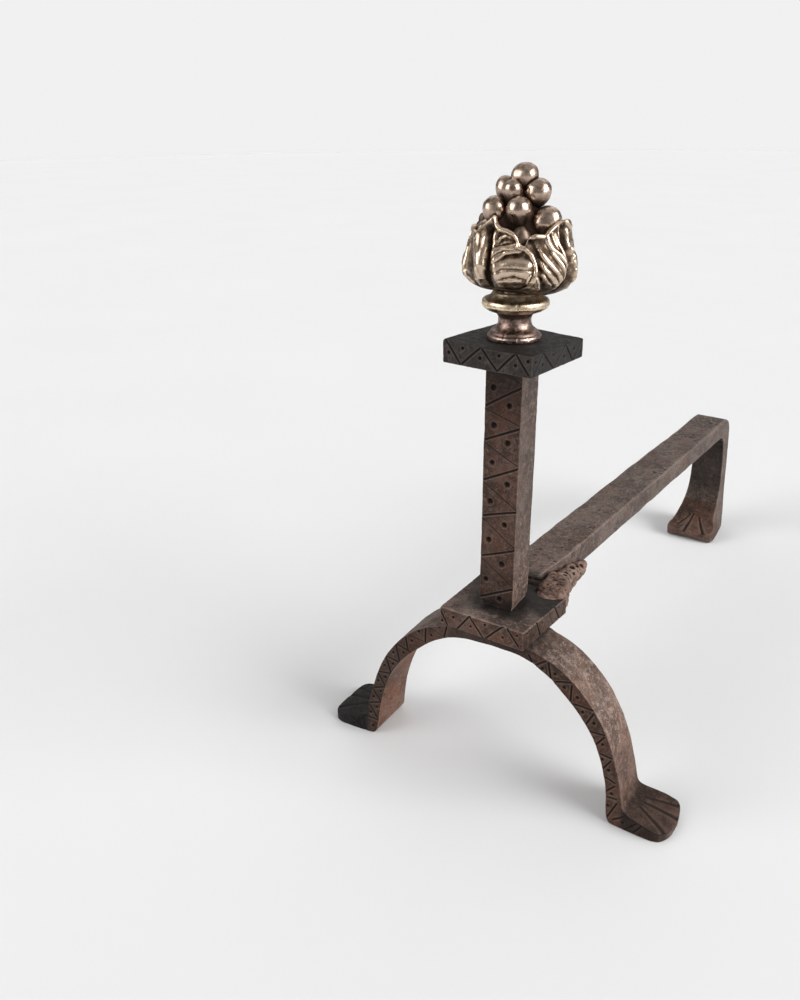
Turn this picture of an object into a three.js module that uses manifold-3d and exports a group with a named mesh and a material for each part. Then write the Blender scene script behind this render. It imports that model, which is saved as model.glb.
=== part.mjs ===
// Andiron: a forged iron fire-dog with a cast bronze finial, after the
// right-hand one of a pair. Millimetres, +Z up, -Y towards the room (front),
// +Y towards the back of the hearth. The post stands on the local axis x=0,
// y=0 while the pieces are made; the last lines move the whole so that the
// origin is the centre of the bounding box's bottom face.
import * as THREE from "three";
import { mergeVertices } from "three/addons/utils/BufferGeometryUtils.js";
import Module from "manifold-3d";

const wasm = await Module();
wasm.setup();

// ---------------------------------------------------------------- dimensions
const GAP = 0.3;              // clearance between pieces that touch

const POST = 25;              // square bar, 1 inch stock
const CAP_TOP = 312;          // top of the square cap plate
const CAP_THICK = 13.2;
const CAP_SIDE = 62.6;
const CAP_TWIST = -6.0;       // degrees, as hand fitted
const PLATE_TOP = 128.5;      // top of the square base plate
const PLATE_THICK = 13.8;
const PLATE_OUTLINE = [[-33.5, -30.7], [30.8, -33.5], [36.8, 26.5], [-30.7, 33.5]];   // out of square, as hammered
const POST_TENON_R = 6;       // round tenon through base plate and arch
const POST_HEAD_R = 9.5;      // peened head under the arch
const HEAD_TENON = 16;        // square tenon into the cap plate

const ARCH_SHIFT = 4.5;       // arch centre, right of the post axis
const ARCH_Y = {               // front and back edge of the leg bar, left and right of the post
  left: [-30.6, 7.2],
  right: [-29.2, 2.8],
};
const ARCH_EDGE = 1.3;        // chamfer of the forged edges

const BAR_TWIST = -3.9;       // log bar veers to the right towards the rear
const BAR_LEFT = -22.8;       // log bar sides, in its own frame
const BAR_RIGHT = 9.6;
const BAR_TOP = 131.5;
const BAR_BOTTOM = 113;
const BAR_EDGE = 3.0;         // rounded edges of the log bar

const STUD_R = 5;             // M10 stud that holds the finial and the cap
const STUD_LOW = 284;
const STUD_HIGH = 362;
const BORE_R = 5.45;

const FOOT_R = 16.3;          // finial pedestal: foot, neck, top
const NECK_R = 9.9;
const PED_TOP = 329.2;
const RING_R = 19.7;
const RING_TOP = 338.6;
const BUD_R = 33.4;
const BUD_SHIFT = 1.4;        // the leaf cup sits a little off its own axis

// ------------------------------------------------------------------- helpers
const rad = (d) => (d * Math.PI) / 180;

function toSolid(geometry) {
  let g = geometry.clone();
  for (const name of Object.keys(g.attributes)) if (name !== "position") g.deleteAttribute(name);
  if (!g.index) g = mergeVertices(g, 1e-4);
  else g = mergeVertices(g, 1e-4);
  // drop triangles that collapsed when their vertices were merged
  const src = g.index.array;
  const tri = [];
  for (let i = 0; i < src.length; i += 3) {
    const [a, b, c] = [src[i], src[i + 1], src[i + 2]];
    if (a !== b && b !== c && a !== c) tri.push(a, b, c);
  }
  return new wasm.Manifold(new wasm.Mesh({
    numProp: 3,
    vertProperties: new Float32Array(g.attributes.position.array),
    triVerts: new Uint32Array(tri),
  }));
}

function toGeometry(solid) {
  const m = solid.getMesh();
  const g = new THREE.BufferGeometry();
  g.setAttribute("position", new THREE.BufferAttribute(new Float32Array(m.vertProperties), 3));
  g.setIndex(new THREE.BufferAttribute(new Uint32Array(m.triVerts), 1));
  g.computeVertexNormals();
  return g;
}

// a closed body through a row of flat outlines with equal point counts
function loft(rings) {
  const n = rings[0].length;
  const pos = [];
  for (const r of rings) for (const p of r) pos.push(p.x, p.y, p.z);
  const idx = [];
  for (let k = 0; k + 1 < rings.length; k++) {
    for (let i = 0; i < n; i++) {
      const a = k * n + i, b = k * n + ((i + 1) % n), c = a + n, d = b + n;
      idx.push(a, b, d, a, d, c);
    }
  }
  for (let i = 1; i + 1 < n; i++) {
    idx.push(0, i + 1, i);
    const e = (rings.length - 1) * n;
    idx.push(e, e + i, e + i + 1);
  }
  const v = (i) => new THREE.Vector3(pos[3 * i], pos[3 * i + 1], pos[3 * i + 2]);
  let vol = 0;
  for (let i = 0; i < idx.length; i += 3) vol += v(idx[i]).dot(v(idx[i + 1]).cross(v(idx[i + 2])));
  if (vol < 0) for (let i = 0; i < idx.length; i += 3) [idx[i + 1], idx[i + 2]] = [idx[i + 2], idx[i + 1]];
  const g = new THREE.BufferGeometry();
  g.setAttribute("position", new THREE.BufferAttribute(new Float32Array(pos), 3));
  g.setIndex(idx);
  return g;
}

// four corners with their corners taken off: an eight-sided outline
function chamfered(corners, cut) {
  const out = [];
  for (let i = 0; i < 4; i++) {
    const p = corners[i], a = corners[(i + 3) % 4], b = corners[(i + 1) % 4];
    const ca = Math.min(cut, p.distanceTo(a) * 0.35), cb = Math.min(cut, p.distanceTo(b) * 0.35);
    out.push(p.clone().add(a.clone().sub(p).setLength(ca)));
    out.push(p.clone().add(b.clone().sub(p).setLength(cb)));
  }
  return out;
}

function turned(geometry, degrees) {
  return geometry.rotateZ(rad(degrees));
}

function block(w, d, h, x, y, z) {
  return new THREE.BoxGeometry(w, d, h).translate(x, y, z + h / 2);
}

// upright round bar, from z0 to z1
function round(r, z0, z1, sides = 24) {
  return new THREE.CylinderGeometry(r, r, z1 - z0, sides).rotateX(Math.PI / 2).translate(0, 0, (z0 + z1) / 2);
}

// turned body about +Z from a list of [radius, height]
function turn(profile, sides = 40) {
  return new THREE.LatheGeometry(profile.map(([r, z]) => new THREE.Vector2(r, z)), sides).rotateX(Math.PI / 2);
}

// four-sided plate with a small bevel on every edge
function plate(outline, thick, top, bevel = 0.8) {
  const shape = new THREE.Shape(outline.map(([x, y]) => new THREE.Vector2(x, y)));
  const g = new THREE.ExtrudeGeometry(shape, {
    depth: thick - 2 * bevel, bevelEnabled: true, bevelThickness: bevel, bevelSize: bevel, bevelOffset: -bevel,
    bevelSegments: 1 });
  return g.translate(0, 0, top - thick + bevel);
}

const square = (side) => {
  const s = side / 2;
  return [[-s, -s], [s, -s], [s, s], [-s, s]];
};

// V-shaped chisel cut from point a to point b, half as deep as it is wide
function chisel(a, b, half, depth) {
  const dir = b.clone().sub(a), len = dir.length();
  const g = new THREE.CylinderGeometry(1, 1, len, 3, 1);
  // the bar's axis is +Y: put one edge of the triangle down
  g.rotateY(Math.PI);
  g.scale(half * 1.1547, 1, depth * 0.9);
  const m = new THREE.Matrix4();
  const y = dir.clone().normalize();
  const up = new THREE.Vector3(0, 0, 1);
  const x = new THREE.Vector3().crossVectors(y, up).normalize();
  const z = new THREE.Vector3().crossVectors(x, y);
  m.makeBasis(x, y, z);
  m.setPosition(a.clone().add(b).multiplyScalar(0.5));
  return g.applyMatrix4(m);
}

const V = (x, y, z) => new THREE.Vector3(x, y, z);

// ---------------------------------------------------------------- front legs
// One bar bent to an arch, its ends forged into feet turned outwards. Each row
// is [outer x, outer z, inner x, inner z, widening at front, widening at back]
// for the right half; x counts from the arch's own centre.
const LEG = [
  [0, 114.4, 0, 108.9, 0, 5.5],
  [12, 114.4, 12, 108.7, 0, 5.5],
  [22, 114.4, 22, 107.6, 0, 4],
  [30, 114.4, 30, 105.4, 0, 1.2],
  [37, 112.6, 36, 102.4, 0, 0],
  [46, 109.2, 42.5, 98.6, 0, 0],
  [54, 104.8, 48.5, 93.9, 0, 0],
  [62, 98.8, 54.5, 88.6, 0, 0],
  [69.5, 91.6, 61.5, 82.2, 0, 0],
  [76.2, 83.6, 68, 75, 0, 0],
  [82, 74.8, 73.6, 67.2, 0, 0],
  [87.2, 64.6, 78.6, 58.4, 0, 0],
  [91.6, 53.2, 82.6, 48.8, 0, 0],
  [95, 42, 85.6, 39.2, 0, 0],
  [97.8, 31.4, 88, 29.6, 0, 0],
  [99.6, 23, 89.4, 20, 0.3, 0.3],
  [100.8, 16.6, 90.4, 11, 0.8, 0.6],
  [102.8, 13.4, 91.4, 4.2, 1.4, 1.0],
  [106, 12, 94.2, 0.4, 2.2, 1.6],
  [110.5, 11, 104, 0, 3.2, 2.2],
  [116, 9.8, 113, 0, 4.4, 3],
  [121.5, 8.3, 120, 0, 5, 3.4],
  [126, 6.9, 125.4, 0, 3.2, 2.4],
  [129, 5.8, 128.8, 0, -2.4, -2.4],
  [130.8, 5.0, 130.8, 0.2, -9, -8],
  [131.6, 4.4, 131.6, 0.6, -15, -14],
];

function frontLegs() {
  const rings = [];
  const row = ([xo, zo, xi, zi, wf, wb], side) => {
    const k = (1 + side * Math.min(1, xo / 32)) / 2;          // left to right across the crown
    const yf = ARCH_Y.left[0] * (1 - k) + ARCH_Y.right[0] * k - wf;
    const yb = ARCH_Y.left[1] * (1 - k) + ARCH_Y.right[1] * k + wb;
    return chamfered([
      V(ARCH_SHIFT + side * xo, yf, zo), V(ARCH_SHIFT + side * xo, yb, zo),
      V(ARCH_SHIFT + side * xi, yb, zi), V(ARCH_SHIFT + side * xi, yf, zi)], ARCH_EDGE);
  };
  for (let i = LEG.length - 1; i > 0; i--) rings.push(row(LEG[i], -1));
  for (let i = 0; i < LEG.length; i++) rings.push(row(LEG[i], 1));
  let body = toSolid(loft(rings));
  // hole for the post's tenon
  body = body.subtract(toSolid(round(POST_TENON_R + GAP, 100, 120)));
  // three chisel cuts on each foot, fanned from the ankle to the toe
  for (const side of [-1, 1]) {
    const [y0f, y0b] = side < 0 ? ARCH_Y.left : ARCH_Y.right;
    const yc = (y0f + y0b) / 2 - 0.8;
    for (const [y0, y1, x1] of [[-5.5, -16, 130.5], [0, -0.5, 134], [5.5, 14, 130.5]]) {
      const a = V(ARCH_SHIFT + side * 107.5, yc + y0, 12.9), b = V(ARCH_SHIFT + side * x1, yc + y1, 5.6);
      body = body.subtract(toSolid(chisel(a, b, 1.5, 1.9)));
    }
  }
  return toGeometry(body);
}

// ------------------------------------------------------------------- log bar
// Rows in the bar's own frame, [outer y, outer z, inner y, inner z, left, right]:
// from the nose behind the post, level to the rear, down the bent leg and
// forward along its forged foot.
const SCARF = (y) => 128.5 - Math.max(0, y - 50) * (17.8 / 64);   // face of the scarf weld
const BAR = [
  [35.2, 132.2, 35.6, 130.4, 2.6, -2.6],
  [37.2, 133.8, 37.4, 129.3, 0.8, -0.8],
  [41, 134.4, 41, SCARF(41) + GAP, 0, 0],
  [50, 134, 50, SCARF(50) + GAP, 0, 0],
  [68, 132.8, 68, SCARF(68) + GAP, 0, 0],
  [88, BAR_TOP, 88, SCARF(88) + GAP, 0, 0],
  [106.9, BAR_TOP, 106.9, BAR_BOTTOM, 0, 0],
  [452, BAR_TOP, 450, BAR_BOTTOM, 0, 0],
  [461.5, 130.4, 456, 112.2, 0, 0],
  [469.5, 126.8, 460.5, 109.4, 0, 0],
  [475.6, 121, 463.8, 105, 0, 0],
  [479.8, 113, 465.8, 98.6, 0, 0],
  [482.2, 103, 466.9, 91, 0, 0.2],
  [483.4, 82, 468, 76, -0.2, 0.8],
  [484, 58, 467.8, 58, 0, 1.6],
  [484.3, 38, 464, 42, 0.6, 2.6],
  [484.5, 20, 457, 30.5, 1.6, 3.8],
  [484, 6, 451, 24.5, 2.6, 4.8],
  [480, 0.4, 446.5, 20.8, 3.4, 6],
  [466, 0, 441.5, 17.6, 4.2, 7.8],
  [452, 0, 437, 15.4, 5, 9.4],
  [440, 0, 432.8, 13.4, 5.4, 10.4],
  [431.6, 0.6, 430, 12.2, 4.6, 10],
  [428.6, 2.4, 428, 10.4, 1.6, 7],
];

function inBarFrame(geometry) {
  return turned(geometry, BAR_TWIST);
}

function logBar() {
  const rings = BAR.map(([yo, zo, yi, zi, wl, wr]) => chamfered([
    V(BAR_LEFT - wl, yo, zo), V(BAR_RIGHT + wr, yo, zo),
    V(BAR_RIGHT + wr, yi, zi), V(BAR_LEFT - wl, yi, zi)], BAR_EDGE));
  let body = toSolid(inBarFrame(loft(rings)));
  for (const [x0, x1] of [[-11, -21], [-6.8, -4.5], [-2.2, 10.5]]) {
    const g = chisel(V(x0, 452.5, 26), V(x1, 426.5, 11.2), 1.5, 1.9);
    body = body.subtract(toSolid(inBarFrame(g)));
  }
  return toGeometry(body);
}

// -------------------------------------------------------- tongue of the weld
// Lug that carries the log bar's scarfed front end. It butts against the base
// plate's rear edge, laps over the plate's rear right corner beside the bar's
// nose, and runs back under the bar, tapering, to a rounded end.
function barTongue() {
  const rows = [           // [y, left, right, bottom z, top z under the bar, top z at the sides]
    [24, -36, 30.6, 109.2, 128.5, 127.6],
    [36.6, -35, 28, 108.6, 128.5, 127],
    [48, -33, 23.8, 107.4, 128.5, 125.4],
    [64, -31, 20, 106.8, SCARF(64), 120.6],
    [84, -29, 17, 106.6, SCARF(84), 116],
    [100, -28, 16, 106.4, SCARF(100), 112.2],
    [108, -25.5, 13.6, 106.6, SCARF(108), 110.8],
    [112.4, -19, 8, 107.2, SCARF(112.4), 110.0],
  ];
  const rings = rows.map(([y, l, r, zb, zm, zs]) => [
    V(l, y, zb + 2.4), V(l + 2, y, zb), V(r - 2, y, zb), V(r, y, zb + 2.4),
    V(r, y, zs - 1.5), V(r - 1.6, y, zs), V(Math.min(BAR_RIGHT + 1.5, r - 2), y, zm), V(Math.max(BAR_LEFT - 1.5, l + 2), y, zm),
    V(l + 1.6, y, zs), V(l, y, zs - 1.5)]);
  let body = toSolid(inBarFrame(loft(rings)));
  const lap = [[14.6, 22.4], [23, 20.2], [33.6, 20.6], [36.4, 24], [35.8, 31], [30.6, 44], [22, 50], [14.6, 50]];
  const ring = (z, k) => lap.map(([x, y]) => V(26 + (x - 26) * k, 36 + (y - 36) * k, z));
  body = body.add(toSolid(loft([ring(120, 1), ring(PLATE_TOP + 2.6, 1), ring(PLATE_TOP + 4.6, 0.74)])));
  // clear of the bar's nose and sides
  const nose = loft([20, 38, 50, 78, 130].map((y) => [
    V(BAR_LEFT - GAP - 0.4, y, SCARF(y)), V(BAR_RIGHT + GAP + 0.4, y, SCARF(y)),
    V(BAR_RIGHT + GAP + 0.4, y, 150), V(BAR_LEFT - GAP - 0.4, y, 150)]));
  body = body.subtract(toSolid(inBarFrame(nose)));
  // clear of the base plate, and set back from it beside the post
  const grown = new THREE.Shape(PLATE_OUTLINE.map(([x, y]) => new THREE.Vector2(x + Math.sign(x) * GAP, y + Math.sign(y) * GAP)));
  body = body.subtract(toSolid(new THREE.ExtrudeGeometry(grown, { depth: 40, bevelEnabled: false }).translate(0, 0, PLATE_TOP + GAP - 40)));
  body = body.subtract(toSolid(block(60, 40, 60, -16.4, 16.2, 100)));
  return toGeometry(body);
}

// ---------------------------------------------------------------- base plate
function basePlate() {
  let body = toSolid(plate(PLATE_OUTLINE, PLATE_THICK, PLATE_TOP));
  body = body.subtract(toSolid(round(POST_TENON_R + GAP, 100, 140)));
  return toGeometry(body);
}

// ---------------------------------------------------------------------- post
const CAP_BOTTOM = CAP_TOP - CAP_THICK;
const POST_FOOT = PLATE_TOP + GAP;
const POST_HEAD = CAP_BOTTOM - GAP;
const ARCH_UNDER = 108.2;     // underside of the arch at the tenon

function post() {
  const h = POST / 2;
  const ring = (z, half) => chamfered([V(-half, -half, z), V(half, -half, z), V(half, half, z), V(-half, half, z)], 1.2);
  let body = toSolid(loft([ring(POST_FOOT, h), ring(POST_HEAD, h)]));
  const t = HEAD_TENON / 2;
  body = body.add(toSolid(block(2 * t, 2 * t, CAP_THICK - GAP, 0, 0, POST_HEAD)));
  const under = ARCH_UNDER - GAP;
  body = body.add(toSolid(turn([
    [0, under - 4], [POST_HEAD_R - 3.2, under - 3.6], [POST_HEAD_R - 0.8, under - 2.2], [POST_HEAD_R, under - 0.8],
    [POST_HEAD_R - 0.6, under], [POST_TENON_R, under], [POST_TENON_R, POST_FOOT + 1], [0, POST_FOOT + 1]], 24)));
  body = body.subtract(toSolid(round(BORE_R - 0.1, STUD_LOW - GAP, 330, 20)));
  return toGeometry(body);
}

// ----------------------------------------------------------------- cap plate
function capPlate() {
  let body = toSolid(turned(plate(square(CAP_SIDE), CAP_THICK, CAP_TOP), CAP_TWIST));
  const t = HEAD_TENON / 2 + GAP;
  body = body.subtract(toSolid(block(2 * t, 2 * t, 40, 0, 0, CAP_BOTTOM - 10)));
  return toGeometry(body);
}

// -------------------------------------------------------------------- finial
function stud() {
  return toGeometry(toSolid(turn([
    [0, STUD_LOW], [STUD_R - 0.8, STUD_LOW], [STUD_R, STUD_LOW + 1], [STUD_R, STUD_HIGH - 1],
    [STUD_R - 0.8, STUD_HIGH], [0, STUD_HIGH]], 20)));
}

function bored(solid, top) {
  return solid.subtract(toSolid(round(BORE_R, 300, top, 20)));
}

function pedestal() {
  const z = CAP_TOP + GAP;
  const solid = toSolid(turn([
    [0, z], [FOOT_R - 0.7, z], [FOOT_R, z + 0.9], [FOOT_R + 0.1, z + 2.2], [FOOT_R - 0.6, z + 3.3],
    [14.8, z + 3.8], [14.4, z + 4.8], [13.4, z + 6], [11.8, z + 7.6], [10.6, z + 9.4], [NECK_R, z + 11.4],
    [NECK_R + 0.1, z + 13.2], [10.7, z + 14.8], [12.2, z + 16.1], [13.2, PED_TOP], [0, PED_TOP]], 40));
  return toGeometry(bored(solid, 400));
}

function ringDisc() {
  const z = PED_TOP + GAP;
  const solid = toSolid(turn([
    [0, z], [14.4, z], [16.6, z + 0.7], [18.6, z + 2.2], [RING_R, z + 4.2], [19.4, z + 6], [18, z + 7.2],
    [15.6, z + 7.9], [13.2, z + 8.2], [12.2, RING_TOP], [0, RING_TOP]], 40));
  return toGeometry(bored(solid, 400));
}

// Cup of four folded vine leaves with a cone of berries standing out of it,
// cast in one. Angles count from the right, seen from the viewer's side.
const LAT = V(0.91, 0.416, 0), CAM = V(0.416, -0.91, 0);
const LEAVES = 4, LEAF_PHASE = rad(33);
const BERRIES = [                 // [distance from the axis, degrees, height, radius]
  [2.6, 10, 405.8, 7.8],
  [9.8, 118, 397.2, 7.2], [11.2, 16, 396.6, 7.7], [10.4, 202, 399.0, 7.2], [10.2, 292, 397.6, 7.5],
  [17.0, 92, 385.2, 7.6], [18.2, 20, 384.4, 8.1], [17.4, 166, 387, 7.4], [17.4, 237, 386, 7.7], [17.4, 309, 386, 7.7],
  [20.2, 57, 373.6, 7.6], [20.2, 129, 375, 7.6], [20.2, 201, 374, 7.6], [20.2, 273, 374, 7.6], [20.2, 345, 374, 7.6],
];

function bud() {
  const z = RING_TOP + GAP;
  const profile = [
    [0, z], [12.6, z], [13.6, z + 1.6], [18.6, z + 1.6], [25.4, z + 3.4], [30.2, z + 8], [32.6, z + 13.6], [BUD_R, z + 19.4],
    [32.6, z + 25.4], [30.4, z + 31.4], [28.2, z + 36.4], [26.8, z + 39.6], [24.6, z + 40], [20, z + 37.5],
    [14, z + 44], [8, z + 56], [3, z + 62], [0, z + 63]];
  const cup = turn(profile, 50);
  const p = cup.attributes.position;
  for (let i = 0; i < p.count; i++) {
    const x = p.getX(i), y = p.getY(i), h = p.getZ(i) - z;
    const r = Math.hypot(x, y);
    if (r < 13.5) continue;
    const a = Math.atan2(x * CAM.x + y * CAM.y, x * LAT.x + y * LAT.y);
    const lobe = Math.abs(Math.cos(((a - LEAF_PHASE) * LEAVES) / 2));   // 1 on a leaf's middle, 0 between two
    const grow = Math.min(1, Math.max(0, h / 12));
    const k = 1 + 0.045 * grow * (lobe - 0.55);
    p.setX(i, x * k + LAT.x * BUD_SHIFT * grow);
    p.setY(i, y * k + LAT.y * BUD_SHIFT * grow);
    if (h > 34 && r > 22) p.setZ(i, z + h + 10.0 * (lobe - 0.6) * Math.min(1, (h - 30) / 9));
  }
  let body = toSolid(cup);
  for (const [r, deg, h, size] of BERRIES) {
    const c = LAT.clone().multiplyScalar(r * Math.cos(rad(deg))).add(CAM.clone().multiplyScalar(r * Math.sin(rad(deg))));
    const ball = new THREE.SphereGeometry(size, 14, 10).rotateX(Math.PI / 2).translate(c.x, c.y, h);
    body = body.add(toSolid(ball));
  }
  body = bored(body, STUD_HIGH + GAP + 0.2);
  return toGeometry(body);
}

// ------------------------------------------------------------------ assembly
const iron = new THREE.MeshStandardMaterial({ color: 0x6f6159, roughness: 0.72, metalness: 0.55 });
const darkIron = new THREE.MeshStandardMaterial({ color: 0x4c4846, roughness: 0.66, metalness: 0.6 });
const bronze = new THREE.MeshStandardMaterial({ color: 0x9a7a5c, roughness: 0.34, metalness: 1 });
const redBronze = new THREE.MeshStandardMaterial({ color: 0x94705f, roughness: 0.36, metalness: 1 });
const brass = new THREE.MeshStandardMaterial({ color: 0xa88a58, roughness: 0.3, metalness: 1 });
const steel = new THREE.MeshStandardMaterial({ color: 0x77726c, roughness: 0.5, metalness: 0.9 });

const andiron = new THREE.Group();
const add = (name, geometry, material) => {
  const mesh = new THREE.Mesh(geometry, material.clone());
  mesh.name = name;
  andiron.add(mesh);
  return mesh;
};

add("front_legs", frontLegs(), iron);
add("base_plate", basePlate(), iron);
add("post", post(), iron);
add("cap_plate", capPlate(), darkIron);
add("log_bar", logBar(), iron);
add("bar_tongue", barTongue(), iron);
add("finial_stud", stud(), steel);
add("finial_pedestal", pedestal(), redBronze);
add("finial_ring", ringDisc(), brass);
add("finial_bud", bud(), bronze);

const box = new THREE.Box3().setFromObject(andiron);
const centre = box.getCenter(new THREE.Vector3());
andiron.position.set(-centre.x, -centre.y, -box.min.z);

export default andiron;
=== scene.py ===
import math

import bpy
import numpy as np
from mathutils import Matrix, Vector


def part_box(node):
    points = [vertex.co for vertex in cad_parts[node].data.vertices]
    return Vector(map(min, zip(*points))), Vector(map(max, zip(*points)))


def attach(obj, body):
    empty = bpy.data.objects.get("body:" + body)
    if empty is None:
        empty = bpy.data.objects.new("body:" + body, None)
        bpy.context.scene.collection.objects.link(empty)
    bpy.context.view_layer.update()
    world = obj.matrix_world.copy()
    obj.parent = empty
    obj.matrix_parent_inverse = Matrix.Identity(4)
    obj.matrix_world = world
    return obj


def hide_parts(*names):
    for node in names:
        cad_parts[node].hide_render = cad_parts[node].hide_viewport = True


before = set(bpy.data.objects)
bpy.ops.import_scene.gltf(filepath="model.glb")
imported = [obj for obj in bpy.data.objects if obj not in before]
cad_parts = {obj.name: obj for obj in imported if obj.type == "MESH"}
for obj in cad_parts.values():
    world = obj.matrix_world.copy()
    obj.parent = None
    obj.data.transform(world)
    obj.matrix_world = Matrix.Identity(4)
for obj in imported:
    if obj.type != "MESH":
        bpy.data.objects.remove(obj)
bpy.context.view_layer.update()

# All shapes are worked out in millimetres in the post's own frame: the post's
# axis is x = 0, y = 0, the hearth is z = 0. metres() puts them in the frame.
_lo, _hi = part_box("finial_stud")
AXIS = np.array([(_lo.x + _hi.x) / 2, (_lo.y + _hi.y) / 2, 0.0])


def metres(p):
    return np.asarray(p, float) / 1000.0 + AXIS


# ---------------------------------------------------------------- numbers
POST = 25.0
CAP_TOP, CAP_THICK, CAP_SIDE, CAP_TWIST = 312.0, 13.2, 62.6, -6.0
PLATE_TOP, PLATE_THICK = 128.5, 13.8
PLATE = [(-33.5, -30.7), (30.8, -33.5), (36.8, 26.5), (-30.7, 33.5)]
ARCH_SHIFT = 4.5
ARCH_Y = {"left": (-30.6, 7.2), "right": (-29.2, 2.8)}
BAR_TWIST, BAR_LEFT, BAR_RIGHT = -3.9, -22.8, 9.6
BAR_TOP, BAR_BOTTOM = 131.5, 113.0
RING_TOP, PED_TOP, GAP = 338.6, 329.2, 0.3

LEG = np.array([
    [0, 114.4, 0, 108.9, 0, 5.5], [12, 114.4, 12, 108.7, 0, 5.5], [22, 114.4, 22, 107.6, 0, 4],
    [30, 114.4, 30, 105.4, 0, 1.2], [37, 112.6, 36, 102.4, 0, 0], [46, 109.2, 42.5, 98.6, 0, 0],
    [54, 104.8, 48.5, 93.9, 0, 0], [62, 98.8, 54.5, 88.6, 0, 0], [69.5, 91.6, 61.5, 82.2, 0, 0],
    [76.2, 83.6, 68, 75, 0, 0], [82, 74.8, 73.6, 67.2, 0, 0], [87.2, 64.6, 78.6, 58.4, 0, 0],
    [91.6, 53.2, 82.6, 48.8, 0, 0], [95, 42, 85.6, 39.2, 0, 0], [97.8, 31.4, 88, 29.6, 0, 0],
    [99.6, 23, 89.4, 20, 0.3, 0.3], [100.8, 16.6, 90.4, 11, 0.8, 0.6], [102.8, 13.4, 91.4, 4.2, 1.4, 1.0],
    [106, 12, 94.2, 0.4, 2.2, 1.6], [110.5, 11, 104, 0, 3.0, 2.4], [116.4, 9.8, 113.4, 0, 3.6, 3.4],
    [122.4, 8.3, 121, 0, 3.8, 4.4], [127.4, 7.0, 126.8, 0, 2.4, 4.4], [130.8, 5.9, 130.6, 0, -1.8, 2.2],
    [132.8, 5.0, 132.8, 0.2, -7.0, -3.4], [133.6, 4.4, 133.6, 0.6, -12, -9.5],
])


def scarf(y):
    return 128.5 - max(0.0, y - 50) * (17.8 / 64)


BAR = np.array([
    [35.2, 132.2, 35.6, 130.4, 2.6, -2.6], [37.2, 133.8, 37.4, 129.3, 0.8, -0.8],
    [41, 134.4, 41, scarf(41) + GAP, 0, 0], [50, 134, 50, scarf(50) + GAP, 0, 0],
    [68, 132.8, 68, scarf(68) + GAP, 0, 0], [88, BAR_TOP, 88, scarf(88) + GAP, 0, 0],
    [106.9, BAR_TOP, 106.9, BAR_BOTTOM, 0, 0], [400, BAR_TOP, 400, BAR_BOTTOM, 0, 0], [453, BAR_TOP + 0.9, 450, BAR_BOTTOM, 0, 0],
    [463.5, 131.6, 456, 112.2, 0, 0], [472, 128.2, 460.5, 109.4, 0, 0], [478, 122.2, 463.8, 105, 0, 0],
    [481.2, 113.4, 465.8, 98.6, 0, 0], [482.2, 103, 466.9, 91, 0, 0.2], [483.4, 82, 468, 76, -0.2, 0.8],
    [484, 58, 467.8, 58, 0, 1.6], [484.3, 38, 464, 42, 0.6, 2.6], [484.5, 20, 457, 30.5, 1.6, 3.8],
    [484, 6, 451, 24.5, 2.6, 4.8], [480, 0.4, 446.5, 20.8, 3.4, 6], [466, 0, 441.5, 17.6, 4.2, 7.8],
    [452, 0, 437, 15.4, 5, 9.4], [439, 0, 431.6, 13.4, 6.2, 10.4], [429.8, 0.6, 428, 12.0, 6.2, 9.6],
    [426.4, 2.4, 426, 10.2, 3.2, 6],
])

# Chased work: lines are (a0, b0, a1, b1, half width, depth) on a face's own
# plane, dots are (a, b, radius, depth).
ARCH_RIGHT_LINES = [
    (33.0, 110.5, 37.2, 103.8), (37.4, 103.6, 45.4, 109.8), (47.3, 109.0, 50.1, 96.4), (51.0, 95.6, 63.6, 99.4),
    (64.5, 97.4, 64.3, 85.6), (67.0, 83.9, 79.7, 83.7), (80.4, 80.9, 76.0, 71.8), (77.6, 67.0, 88.8, 67.6),
    (88.8, 65.8, 82.6, 56.6), (84.0, 52.6, 95.0, 51.4), (94.9, 49.3, 89.2, 39.6), (89.6, 35.6, 99.0, 32.8),
    (99.2, 30.4, 92.0, 21.3), (92.6, 19.4, 101.2, 20.4), (101.8, 17.2, 96.6, 4.4), (100.6, 4.2, 108.2, 10.6),
    (120.3, 9.3, 115.2, 1.4), (109.6, 1.2, 116.6, 9.2),
]
ARCH_RIGHT_DOTS = [
    (43.4, 103.4), (52.4, 102.2), (59.3, 94.1), (68.7, 89.6), (73.1, 79.8), (81.3, 74.1), (81.8, 62.5),
    (88.4, 59.8), (89.0, 48.2), (94.0, 41.2), (91.6, 29.6), (97.6, 23.4), (95.9, 13.2), (107.6, 5.2), (114.0, 5.6),
]
POST_DEEP = [
    (-12.5, 270.2, 12.5, 285.5), (-12.5, 247.7, 12.5, 259.2), (-12.5, 220.2, 12.5, 232.5),
    (-12.5, 194.5, 12.5, 202.2), (-12.5, 164.8, 12.5, 174.6), (-12.5, 132.8, 12.5, 145.7),
]
POST_DOTS = [
    (-6.8, 283.2), (4.3, 272.7), (-5.7, 258.5), (4.2, 248.2), (-6.3, 233.3), (5.1, 220.1), (-6.8, 206.1),
    (4.1, 191.3), (-6.8, 178.1), (3.3, 162.1), (-7.9, 148.1), (2.7, 135.2),
]
PLATE_FRONT_LINES = [
    (-0.5, 127.6, 7.2, 113.6), (13.4, 114.0, 23.8, 128.3), (23.8, 127.6, 34.8, 114.4), (36.1, 114.6, 49.9, 129.3),
    (51.3, 129.4, 60.9, 117.4),
]
PLATE_FRONT_DOTS = [(11.0, 123.1), (24.7, 120.4), (35.6, 125.2), (49.1, 120.1), (59.5, 125.0), (2.0, 117.6)]
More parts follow.
